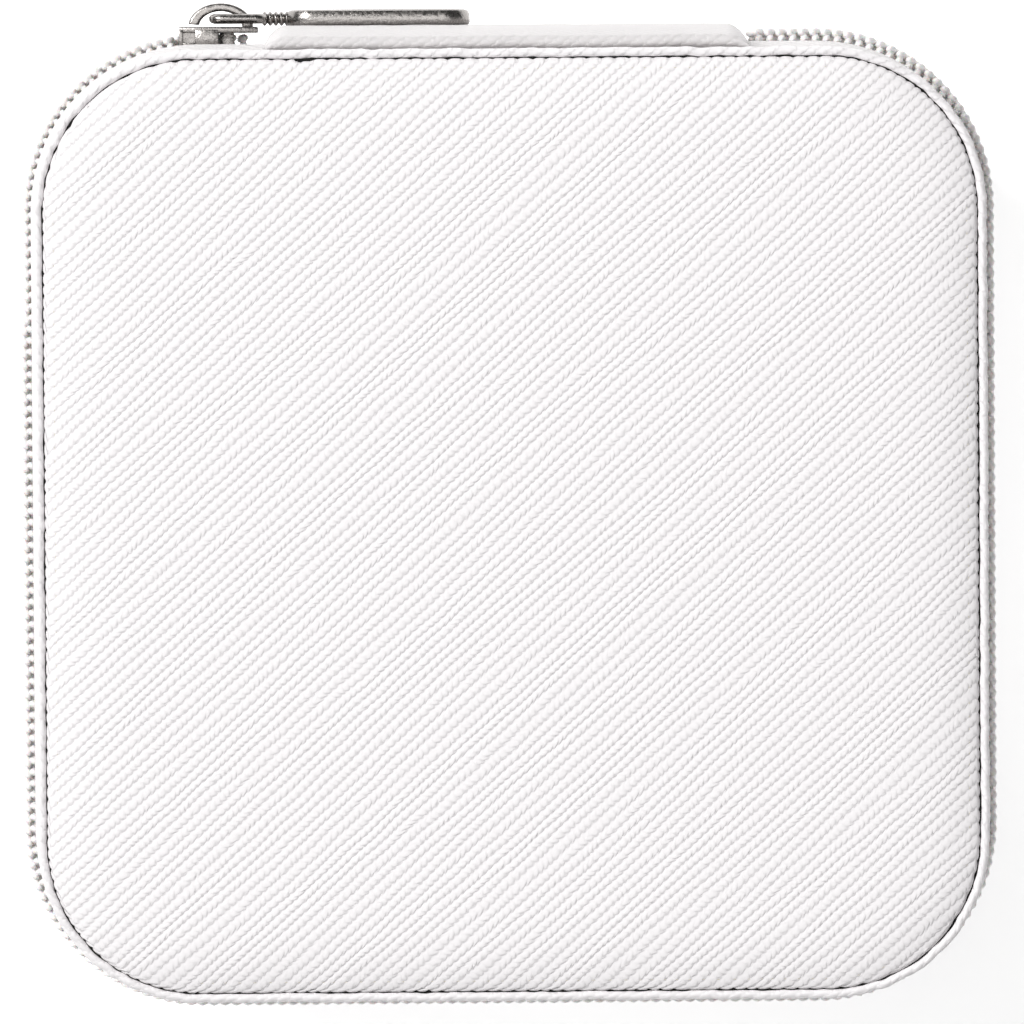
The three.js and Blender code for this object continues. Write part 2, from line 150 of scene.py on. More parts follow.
class JEWELRYBOX_PG_zip(bpy.types.PropertyGroup):
    """The zip, its slider and its pull."""

    pitch: size("Tooth pitch", 1.18, "Distance between two teeth of one row")
    tooth_width: size("Tooth width", 1.12, "Width of a tooth along the zip")
    tooth_height: size("Tooth height", 2.0, "Height of a tooth across the zip")
    tooth_depth: size("Tooth depth", 0.86, "Depth of a tooth")
    tooth_slant: FloatProperty(
        name="Tooth slant",
        description="Lean of the teeth, which makes the herringbone",
        default=math.radians(24),
        subtype="ANGLE",
    )
    tooth_turn: FloatProperty(
        name="Tooth turn",
        description="Turn of a tooth seen from above, against the loop behind it",
        default=math.radians(36),
        subtype="ANGLE",
    )
    thread: size("Thread", 0.26, "Thickness of the thread that holds the coil")
    beads: IntProperty(name="Neck beads", description="Beads on the pull's neck", default=5)
    bevel: size("Metal bevel", 0.13, "Rounding of the metal's edges")
    outer_round: size("Outer round", 0.6, "Rounding of the pull bar's rim away from the spine")
    inner_round: size("Inner round", 0.3, "Rounding of the pull bar's rim beside the spine")


class JEWELRYBOX_PG_inside(bpy.types.PropertyGroup):
    """The linings, rolls, dividers, pocket and straps."""

    pile: size("Velvet pile", 0.35, "Length of the velvet's pile, which rounds its edges")
    puff: size("Roll puff", 0.3, "Most that a ring roll swells")
    fold_pitch: size("Fold pitch", 3.1, "Distance between two folds at the pocket's hem")
    fold_depth: size("Fold depth", 0.75, "Depth of those folds")
    stitch: size("Stitch", 1.5, "Length of a stitch on the straps")


class JEWELRYBOX_PG_colours(bpy.types.PropertyGroup):
    """The colours of the box and of what it stands on."""

    leather: colour("Leather", "#F7F4F5", "Embossed case leather")
    # Painted shade: the walls are the same white leather as the lid, drawn darker to paint the shade on
    # their upright sides.
    wall: colour("Wall", "#E6E3E3", "Case leather of the walls")
    # Painted shade: the spine is the same white leather as the lid, drawn darker to paint the shade on its
    # steep bulge.
    spine: colour("Spine", "#DDDADA", "Case leather of the spine")
    piping: colour("Piping", "#F7F5F4", "Piping and straps")
    tape: colour("Tape", "#E6E4E1", "Zip tape")
    coil: colour("Coil", "#F7F5F4", "Zip coil")
    card: colour("Card", "#121110", "Card under the leather")
    foam: colour("Foam", "#E2DAC2", "Foam under the lid's leather")
    nickel: colour("Nickel", "#A8A4A1", "Slider, pull and snaps")
    velvet: colour("Velvet", "#DAD3C7", "Velvet inside")
    satin: colour("Satin", "#E4DDD1", "Pocket")
    floor: colour("Floor", "#FFFFFF", "What the box stands on")


# Making meshes and pieces --------------------------------------------------------------


def carry(bm, geometry, steps, centre=(0, 0, 0), axis=(0, 0, 1), angle=0.0, shift=(0, 0, 0)):
    """Carries an open profile on, round a centre or straight, and gives the profile at its end."""
    made = bmesh.ops.spin(
        bm,
        geom=geometry,
        cent=centre,
        axis=axis,
        dvec=Vector(shift) / steps,
        angle=angle,
        steps=steps,
        use_duplicate=False,
    )
    return made["geom_last"]


def measuring_bmesh():
    """A bmesh whose vertices keep how far they lie along their profile, for the grain."""
    bm = bmesh.new()
    bm.verts.layers.float.new("wrap")
    return bm


def measure_wrap(bm, verts):
    layer = bm.verts.layers.float["wrap"]
    for before, vert in zip(verts, verts[1:]):
        vert[layer] = before[layer] + (vert.co - before.co).length


def round_the_box(profile, start=0.0, end=0.0, closed=True, step=2.6 * MM, bends=14):
    """A profile of (distance from the centre, height) carried round the box's rounded square.

    It sets out from x = start at the back, passes the right side, the front and the left side,
    and ends at x = end at the back.
    """
    bm = measuring_bmesh()
    verts = [bm.verts.new((start, out, height)) for out, height in profile]
    edges = [bm.edges.new(pair) for pair in zip(verts, verts[1:])]
    measure_wrap(bm, verts)
    if closed:
        edges.append(bm.edges.new((verts[-1], verts[0])))
    geometry = verts + edges
    legs = (
        ((1, 0), CORNER - start, (1, 1)),
        ((0, -1), 2 * CORNER, (1, -1)),
        ((-1, 0), 2 * CORNER, (-1, -1)),
        ((0, 1), 2 * CORNER, (-1, 1)),
        ((1, 0), CORNER + end, None),
    )
    for (x, y), length, corner in legs:
        shift = Vector((x, y, 0)) * length
        geometry = carry(bm, geometry, max(1, round(length / step)), shift=shift)
        if corner:
            centre = (corner[0] * CORNER, corner[1] * CORNER, 0)
            geometry = carry(bm, geometry, bends, centre=centre, angle=-math.pi / 2)
    bmesh.ops.remove_doubles(bm, verts=bm.verts, dist=0.01 * MM)
    return bm


def close_ends(bm):
    """Fills the open loops of a carried profile."""
    open_edges = [edge for edge in bm.edges if edge.is_boundary]
    bmesh.ops.holes_fill(bm, edges=open_edges, sides=0)
    return bm


def distance_round(x, y, half=WALL_HALF):
    """How far a point lies round the box, clockwise from the middle of the back."""
    radius = half - CORNER
    side = 2 * CORNER + radius * math.pi / 2
    quarter = round(math.atan2(x, y) / (math.pi / 2)) % 4
    turned = Matrix.Rotation(quarter * math.pi / 2, 2) @ Vector((x, y))
    along = max(-CORNER, min(CORNER, turned.x))
    if abs(turned.x) > CORNER:
        turn = math.atan2(abs(turned.x) - CORNER, turned.y - CORNER)
        along += math.copysign(radius * turn, turned.x)
    return quarter * side + along, 4 * side


def lay_round(mesh, layer):
    """Grain that runs round the walls: distance round the box, and along the profile."""
    wrap = mesh.attributes["wrap"].data
    turn = max(place.value for place in wrap)
    for face in mesh.polygons:
        places = []
        for corner in face.loop_indices:
            vertex = mesh.loops[corner].vertex_index
            point = mesh.vertices[vertex].co
            along, whole = distance_round(point.x, point.y)
            places.append((along, wrap[vertex].value))
        farthest = max(along for along, _ in places)
        highest = max(height for _, height in places)
        for corner, (along, height) in zip(face.loop_indices, places):
            if farthest - along > whole / 2:
                along += whole
            if highest - height > turn / 2:
                height += turn
            layer.data[corner].uv = (along, -height)


def lay_flat(mesh, layer):
    """Grain that lies on top of a panel."""
    for loop, place in zip(mesh.loops, layer.data):
        place.uv = mesh.vertices[loop.vertex_index].co.xy


def lay_rows(mesh, layer):
    """Grain that follows the rows that the sheet was drawn in."""
    places = mesh.attributes["grain_at"].data
    for loop, place in zip(mesh.loops, layer.data):
        place.uv = places[loop.vertex_index].vector.xy


def lay_across(mesh, layer):
    """Grain that runs along x and along the profile."""
    wrap = mesh.attributes["wrap"].data
    for loop, place in zip(mesh.loops, layer.data):
        along = wrap[loop.vertex_index].value
        place.uv = (-mesh.vertices[loop.vertex_index].co.x, along)


def link_piece(name, mesh, looks, body, replaced=(), sharp=50):
    for look in looks:
        mesh.materials.append(bpy.data.materials[look])
    mesh.shade_smooth()
    mesh.set_sharp_from_angle(angle=math.radians(sharp))
    piece = bpy.data.objects.new(name, mesh)
    bpy.context.scene.collection.objects.link(piece)
    if body:
        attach(piece, body)
    if replaced:
        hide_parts(*replaced)
    return piece


def finish_piece(name, bm, looks, body, replaced=(), grain=None, sharp=50, turn=True):
    """Makes a bmesh a finished piece that rides on a body."""
    if turn:
        bmesh.ops.recalc_face_normals(bm, faces=bm.faces)
    mesh = bpy.data.meshes.new(name)
    bm.to_mesh(mesh)
    bm.free()
    if grain:
        grain(mesh, mesh.uv_layers.new(name="grain"))
    return link_piece(name, mesh, looks, body, replaced, sharp)


def rounded_box(bm, low, high, radius, segments=3):
    """A box between two corners with all its edges rounded."""
    low, high = Vector(low), Vector(high)
    place = Matrix.Translation((low + high) / 2) @ Matrix.Diagonal((*(high - low), 1))
    made = bmesh.ops.create_cube(bm, size=1, matrix=place)["verts"]
    edges = list({edge for vert in made for edge in vert.link_edges})
    if radius:
        bevel(bm, edges, radius, segments)
    return bm


def bevel(bm, edges, offset, segments):
    return bmesh.ops.bevel(
        bm,
        geom=edges,
        offset=offset,
        offset_type="OFFSET",
        affect="EDGES",
        segments=segments,
        profile=0.5,
        material=-1,
        clamp_overlap=True,
    )


def lathe(bm, profile, place, segments=32):
    """Spins a profile of (radius, height) about z, then sets it in place."""
    verts = [bm.verts.new((radius, 0, height)) for radius, height in profile]
    edges = [bm.edges.new(pair) for pair in zip(verts, verts[1:])]
    before = set(bm.verts) - set(verts)
    bmesh.ops.spin(
        bm,
        geom=verts + edges,
        cent=(0, 0, 0),
        axis=(0, 0, 1),
        angle=2 * math.pi,
        steps=segments,
        use_merge=True,
        use_duplicate=False,
    )
    made = [vert for vert in bm.verts if vert not in before]
    bmesh.ops.remove_doubles(bm, verts=made, dist=0.005 * MM)
    made = [vert for vert in bm.verts if vert not in before]
    bmesh.ops.transform(bm, verts=made, matrix=place)
    return bm


def wire(bm, points, radius, cyclic=False, sides=10):
    """Adds a round wire that follows a list of points."""
    curve = bpy.data.curves.new("wire", "CURVE")
    curve.dimensions = "3D"
    curve.bevel_depth = radius
    curve.bevel_resolution = max(1, sides // 4 - 1)
    curve.use_fill_caps = not cyclic
    spline = curve.splines.new("POLY")
    spline.points.add(len(points) - 1)
    for spot, point in zip(spline.points, points):
        spot.co = (*point, 1)
    spline.use_cyclic_u = cyclic
    holder = bpy.data.objects.new("wire", curve)
    mesh = bpy.data.meshes.new_from_object(holder)
    bm.from_mesh(mesh)
    bpy.data.objects.remove(holder)
    bpy.data.curves.remove(curve)
    bpy.data.meshes.remove(mesh)
    return bm


def ball_mesh():
    """A small ball one unit across, to be stretched into teeth and stitches."""
    bm = bmesh.new()
    bmesh.ops.create_uvsphere(bm, u_segments=8, v_segments=5, radius=0.5)
    mesh = bpy.data.meshes.new("ball")
    bm.to_mesh(mesh)
    bm.free()
    return mesh


def add_copy(bm, mesh, matrix):
    """Adds a copy of a small mesh, set in place."""
    copy = mesh.copy()
    copy.transform(matrix)
    bm.from_mesh(copy)
    bpy.data.meshes.remove(copy)


def waver(point, reach, amount, seed=0.0):
    """A smooth random number from -amount to amount that changes over a distance."""
    return amount * noise.noise(Vector(point) / reach + Vector((seed, seed, seed)))


# Materials -----------------------------------------------------------------------------

MATH = "ShaderNodeMath"
NOISE = "ShaderNodeTexNoise"
WAVE = "ShaderNodeTexWave"
BUMP = "ShaderNodeBump"
MIX = "ShaderNodeMix"
RANGE = "ShaderNodeMapRange"
SHADER = "ShaderNodeBsdfPrincipled"
OUTPUT = "ShaderNodeOutputMaterial"

ROW_DRIFT = 1.5  # how far a row of the emboss wanders over centimetres, in rows
ROW_RIPPLE = 0.42  # how far it wanders over millimetres, in rows
BEAD_SHUFFLE = 7.0  # beads that one row may be shifted by against the next
BEAD_RIPPLE = 2.5  # beads that a row's own beads spread by
SCALLOP = -0.19  # how far each bead bulges over the groove, in rows
DOME, DOME_FLOOR = 0.42, 0.58  # share of the height that a bead adds to, and stands on
RIDGE_PROFILE = ((0.2, 0.55), (0.5, 0.9), (0.74, 1.0), (0.9, 0.35))  # across a row, height
GROOVE_SHADE = 0.12  # how much darker the grooves are


def add_node(tree, kind, inputs=None, **settings):
    """Adds a node with its settings, its values, and the nodes or sockets that feed it."""
    made = tree.nodes.new(kind)
    for key, value in settings.items():
        setattr(made, key, value)
    for socket, value in (inputs or {}).items():
        if isinstance(value, bpy.types.Node):
            value = value.outputs[0]
        if isinstance(value, bpy.types.NodeSocket):
            tree.links.new(value, made.inputs[socket])
        else:
            made.inputs[socket].default_value = value
    return made


def new_look(name):
    look = bpy.data.materials.new(name)
    look.use_nodes = True
    look.node_tree.nodes.clear()
    return look.node_tree


def in_mm(tree, source="Object", turn=0.0, stretch=(1, 1, 1)):
    """The surface's own coordinates in millimetres, turned about z and stretched."""
    if source == "grain":
        place = add_node(tree, "ShaderNodeUVMap", uv_map="grain").outputs["UV"]
    else:
        place = add_node(tree, "ShaderNodeTexCoord").outputs["Object"]
    turned = add_node(tree, "ShaderNodeMapping", {"Vector": place, "Rotation": (0, 0, -turn)})
    scale = tuple(s / MM for s in stretch)
    return add_node(tree, "ShaderNodeMapping", {"Vector": turned, "Scale": scale})


def shaded(rgba, share):
    return (*(c * share for c in rgba[:3]), 1.0)


def embossed_leather(name, case, rgba, share=1.0, wander=1.0):
    """Split leather with a coated face, pressed by a heated roller into slanting beaded ridges.

    To the eye: hard, slightly waxy ridges that catch light on one side and keep a thin scalloped
    shadow on the other, with a few ridges wider than their neighbours.
    """
    tree = new_look(name)
    angle = case.emboss_angle
    parts = add_node(
        tree, "ShaderNodeSeparateXYZ", {0: in_mm(tree, "grain", turn=angle)}
    ).outputs
    slow = in_mm(tree, "grain", angle, (0.035, 0.33, 1))  # 29 mm along a row, 3 mm across
    quick = in_mm(tree, "grain", angle, (0.3, 0.8, 1))  # 3.3 mm along a row, 1.3 mm across
    drift = add_node(
        tree, NOISE, {"Vector": slow, "Scale": 1.0, "Detail": 2.0, "Roughness": 0.6}
    )
    ripple = add_node(tree, NOISE, {"Vector": quick, "Scale": 1.0})
    rows = add_node(tree, MATH, {0: parts[1], 1: -case.emboss_pitch / MM}, operation="DIVIDE")
    rows = add_node(
        tree, MATH, {0: drift, 1: ROW_DRIFT * wander, 2: rows}, operation="MULTIPLY_ADD"
    )
    rows = add_node(
        tree, MATH, {0: ripple, 1: ROW_RIPPLE * wander, 2: rows}, operation="MULTIPLY_ADD"
    )
    row = add_node(tree, MATH, {0: rows}, operation="FLOOR")
    chance = add_node(tree, "ShaderNodeTexWhiteNoise", {"W": row}, noise_dimensions="1D")
    bead = add_node(tree, MATH, {0: parts[0], 1: case.emboss_bead / MM}, operation="DIVIDE")
    bead = add_node(
        tree, MATH, {0: chance.outputs["Value"], 1: BEAD_SHUFFLE, 2: bead},
        operation="MULTIPLY_ADD",
    )
    bead = add_node(tree, MATH, {0: ripple, 1: BEAD_RIPPLE, 2: bead}, operation="MULTIPLY_ADD")
    turns = add_node(tree, MATH, {0: bead, 1: math.pi}, operation="MULTIPLY")
    swing = add_node(tree, MATH, {0: turns}, operation="SINE")
    scallop = add_node(tree, MATH, {0: swing}, operation="ABSOLUTE")
    edge = add_node(tree, MATH, {0: scallop, 1: SCALLOP, 2: rows}, operation="MULTIPLY_ADD")
    across = add_node(tree, MATH, {0: edge}, operation="FRACT")
    ridge = add_node(tree, "ShaderNodeValToRGB", {0: across})
    ridge.color_ramp.interpolation = "B_SPLINE"
    stops = ridge.color_ramp.elements
    stops[0].position, stops[0].color = 0.0, (0, 0, 0, 1)
    stops[1].position, stops[1].color = 1.0, (0, 0, 0, 1)
    for position, value in RIDGE_PROFILE:
        stops.new(position).color = (value, value, value, 1)
    domes = add_node(tree, MATH, {0: scallop, 1: DOME}, operation="MULTIPLY")
    height = add_node(tree, MATH, {0: domes, 1: DOME_FLOOR}, operation="ADD")
    relief = add_node(tree, MATH, {0: ridge, 1: height}, operation="MULTIPLY")
    pores = add_node(tree, NOISE, {"Vector": in_mm(tree, "grain"), "Scale": 7.0, "Detail": 3.0})
    pressed = add_node(
        tree, BUMP, {"Height": relief, "Strength": 1.0, "Distance": case.emboss_depth * share}
    )
    normal = add_node(
        tree, BUMP,
        {"Height": pores, "Strength": 1.0, "Distance": 0.012 * MM, "Normal": pressed},
    )
    dark = shaded(rgba, 1 - GROOVE_SHADE * share)
    shade = add_node(tree, MIX, {0: relief, 6: dark, 7: rgba}, data_type="RGBA")
    rough = add_node(tree, RANGE, {0: pores, 3: 0.42, 4: 0.6})
    shader = add_node(
        tree, SHADER,
        {"Base Color": shade.outputs[2], "Roughness": rough, "Normal": normal, "IOR": 1.5,
         "Specular IOR Level": 0.42},
    )
    add_node(tree, OUTPUT, {"Surface": shader})


def smooth_leather(colours):
    """Thin skived leather turned over a cord: fine creases and pores, a soft waxy gloss."""
    tree = new_look("skived_leather_grained")
    creases = add_node(
        tree, "ShaderNodeTexVoronoi",
        {"Vector": in_mm(tree), "Scale": 1.9, "Randomness": 1.0},  # cells half a millimetre wide
        feature="SMOOTH_F1",
    )
    swell = add_node(tree, NOISE, {"Vector": in_mm(tree), "Scale": 0.9, "Detail": 3.0})
    waves = add_node(tree, BUMP, {"Height": swell, "Strength": 1.0, "Distance": 0.16 * MM})
    normal = add_node(
        tree, BUMP,
        {"Height": creases, "Strength": 1.0, "Distance": 0.05 * MM, "Normal": waves},
    )
    dark = shaded(colours.piping, 0.86)
    shade = add_node(tree, MIX, {0: swell, 6: dark, 7: colours.piping}, data_type="RGBA")
    shader = add_node(
        tree, SHADER,
        {"Base Color": shade.outputs[2], "Roughness": 0.5, "Normal": normal, "IOR": 1.5,
         "Specular IOR Level": 0.4},
    )
    add_node(tree, OUTPUT, {"Surface": shader})


def woven_tape(colours):
    """Polyester zip tape in a dense twill: fine diagonal wales, dull, with single threads showing.

    The wales are drawn coarser than the 0.3 mm of real tape, so that they show.
    """
    tree = new_look("polyester_tape_woven")
    warp = add_node(
        tree, WAVE,
        {"Vector": in_mm(tree, "grain", turn=math.radians(-38)), "Scale": 0.55,
         "Distortion": 1.2, "Detail": 2.0, "Detail Scale": 1.5},
    ).outputs[1]
    weft = add_node(
        tree, WAVE, {"Vector": in_mm(tree, "grain"), "Scale": 0.8, "Distortion": 0.6},
        bands_direction="Y",
    ).outputs[1]
    cloth = add_node(tree, MATH, {0: weft, 1: 0.5, 2: warp}, operation="MULTIPLY_ADD")
    normal = add_node(tree, BUMP, {"Height": cloth, "Strength": 1.0, "Distance": 0.07 * MM})
    dark = shaded(colours.tape, 0.84)
    shade = add_node(tree, MIX, {0: warp, 6: dark, 7: colours.tape}, data_type="RGBA")
    shader = add_node(
        tree, SHADER,
        {"Base Color": shade.outputs[2], "Roughness": 0.85, "Normal": normal,
         "Sheen Weight": 0.25, "Sheen Roughness": 0.5},
    )
    add_node(tree, OUTPUT, {"Surface": shader})


def drawn_nylon(name, rgba, roughness):
    """Drawn nylon monofilament: smooth, slightly clear, with faint draw lines.

    The lines are drawn coarser than real ones, which are too fine to show.
    """
    tree = new_look(name)
    along = in_mm(tree, stretch=(1, 1, 0.4))
    lines = add_node(tree, NOISE, {"Vector": along, "Scale": 3.0, "Detail": 2.0})
    normal = add_node(tree, BUMP, {"Height": lines, "Strength": 1.0, "Distance": 0.03 * MM})
    dark = shaded(rgba, 0.88)
    shade = add_node(tree, MIX, {0: lines, 6: dark, 7: rgba}, data_type="RGBA")
    shader = add_node(
        tree, SHADER,
        {"Base Color": shade.outputs[2], "Roughness": roughness, "Normal": normal,
         "IOR": 1.53, "Subsurface Weight": 0.15, "Subsurface Scale": 0.3 * MM},
    )
    add_node(tree, OUTPUT, {"Surface": shader})


def nickel_plate(colours):
    """Tumbled zinc casting with nickel plate: bright, with soft pits that break up reflections.

    The pits are drawn at 0.3 mm, coarser than a real casting's, so that they show.
    """
    tree = new_look("cast_zinc_nickel_plated")
    pits = add_node(tree, NOISE, {"Vector": in_mm(tree), "Scale": 3.2, "Detail": 4.0})
    rough = add_node(tree, RANGE, {0: pits, 1: 0.3, 2: 0.7, 3: 0.2, 4: 0.34})
    normal = add_node(tree, BUMP, {"Height": pits, "Strength": 1.0, "Distance": 0.04 * MM})
    dark = shaded(colours.nickel, 0.6)
    shade = add_node(tree, MIX, {0: pits, 6: dark, 7: colours.nickel}, data_type="RGBA")
    shader = add_node(
        tree, SHADER,
        {"Base Color": shade.outputs[2], "Metallic": 1.0, "Roughness": rough, "Normal": normal},
    )
    add_node(tree, OUTPUT, {"Surface": shader})


def cut_velvet(colours):
    """Short cut-pile velvet glued to card: deep and dull face on, paler at a grazing look.

    Single fibres are too fine to show, so the pile is drawn in tufts of 0.2 mm.
    """
    tree = new_look("cotton_velvet_cut_pile")
    brushed = add_node(
        tree, NOISE, {"Vector": in_mm(tree), "Scale": 0.14, "Detail": 3.0, "Roughness": 0.7}
    )
    pile = add_node(tree, NOISE, {"Vector": in_mm(tree), "Scale": 4.5, "Detail": 3.0})
    strokes = add_node(tree, MATH, {0: brushed, 1: 0.75}, operation="MULTIPLY")
    blend = add_node(tree, MATH, {0: pile, 1: 0.35, 2: strokes}, operation="MULTIPLY_ADD")
    normal = add_node(tree, BUMP, {"Height": pile, "Strength": 1.0, "Distance": 0.14 * MM})
    dark = shaded(colours.velvet, 0.72)
    shade = add_node(tree, MIX, {0: blend, 6: dark, 7: colours.velvet}, data_type="RGBA")
    shader = add_node(
        tree, SHADER,
        {"Base Color": shade.outputs[2], "Roughness": 0.95, "Normal": normal,
         "Sheen Weight": 0.6, "Sheen Roughness": 0.35, "Specular IOR Level": 0.2},
    )
    add_node(tree, OUTPUT, {"Surface": shader})


def satin_cloth(colours):
    """Polyester satin: long floats that make a soft streaky gloss along the folds.

    The floats are drawn 2 mm long, coarser than real ones, so that they show.
    """
    tree = new_look("polyester_satin_woven")
    along = in_mm(tree, "grain", stretch=(6, 0.5, 1))
    floats = add_node(tree, NOISE, {"Vector": along, "Scale": 1.0, "Detail": 3.0})
    normal = add_node(tree, BUMP, {"Height": floats, "Strength": 1.0, "Distance": 0.04 * MM})
    dark = shaded(colours.satin, 0.85)
    shade = add_node(tree, MIX, {0: floats, 6: dark, 7: colours.satin}, data_type="RGBA")
    shader = add_node(
        tree, SHADER,
        {"Base Color": shade.outputs[2], "Roughness": 0.42, "Normal": normal,
         "Sheen Weight": 0.4, "Anisotropic": 0.4},
    )
    add_node(tree, OUTPUT, {"Surface": shader})


def ribbed_elastic(colours):
    """Woven elastic: ribs across the band, covered in polyester thread."""
    tree = new_look("rubber_elastic_woven")
    ribs = add_node(
        tree, WAVE, {"Vector": in_mm(tree), "Scale": 0.42, "Distortion": 0.3}
    ).outputs[1]
    normal = add_node(tree, BUMP, {"Height": ribs, "Strength": 1.0, "Distance": 0.12 * MM})
    dark = shaded(colours.satin, 0.75)
    shade = add_node(tree, MIX, {0: ribs, 6: dark, 7: colours.satin}, data_type="RGBA")
    shader = add_node(
        tree, SHADER, {"Base Color": shade.outputs[2], "Roughness": 0.8, "Normal": normal}
    )
    add_node(tree, OUTPUT, {"Surface": shader})


def grey_card(name, rgba, scale):
    """Pressed card or open foam: dull, with a fine random surface drawn coarse enough to show."""
    tree = new_look(name)
    fibre = add_node(tree, NOISE, {"Vector": in_mm(tree), "Scale": scale, "Detail": 4.0})
    normal = add_node(tree, BUMP, {"Height": fibre, "Strength": 1.0, "Distance": 0.08 * MM})
    dark = shaded(rgba, 0.7)
    shade = add_node(tree, MIX, {0: fibre, 6: dark, 7: rgba}, data_type="RGBA")
    shader = add_node(
        tree, SHADER, {"Base Color": shade.outputs[2], "Roughness": 0.95, "Normal": normal}
    )
    add_node(tree, OUTPUT, {"Surface": shader})


class JEWELRYBOX_OT_looks(bpy.types.Operator):
    """Makes every material, and gives the frame's own pieces theirs."""

    bl_idname = "jewelrybox.looks"
    bl_label = "Materials"

    def execute(self, context):
        case, colours = context.scene.jewelry_case, context.scene.jewelry_colours
        embossed_leather("coated_leather_embossed", case, colours.leather, 0.88, 0.0)
        embossed_leather("coated_leather_stretched", case, colours.leather, 0.8)
        # This copy of the leather has painted shade in its colour, for the upright walls and the underside.
        embossed_leather("coated_leather_wall_painted_shade", case, colours.wall)
        # This copy of the leather has painted shade in its colour, for the spine.
        embossed_leather("coated_leather_spine_painted_shade", case, colours.spine, 0.9)
        smooth_leather(colours)
        woven_tape(colours)
        drawn_nylon("nylon_coil_drawn", colours.coil, 0.38)
        drawn_nylon("polyester_thread_spun", colours.coil, 0.7)
        nickel_plate(colours)
        cut_velvet(colours)
        satin_cloth(colours)
        ribbed_elastic(colours)
        grey_card("bonded_card_pressed", colours.card, 2.0)
        grey_card("polyurethane_foam_open", colours.foam, 3.0)
        kept = {
            "base_board": "bonded_card_pressed",
            "lid_board": "bonded_card_pressed",
            "lid_foam": "polyurethane_foam_open",
            "base_floor": "cotton_velvet_cut_pile",
        }
        for node, look in kept.items():
            materials = frame["nodes"][node].data.materials
            materials.clear()
            materials.append(bpy.data.materials[look])
        return {"FINISHED"}


# The case ------------------------------------------------------------------------------


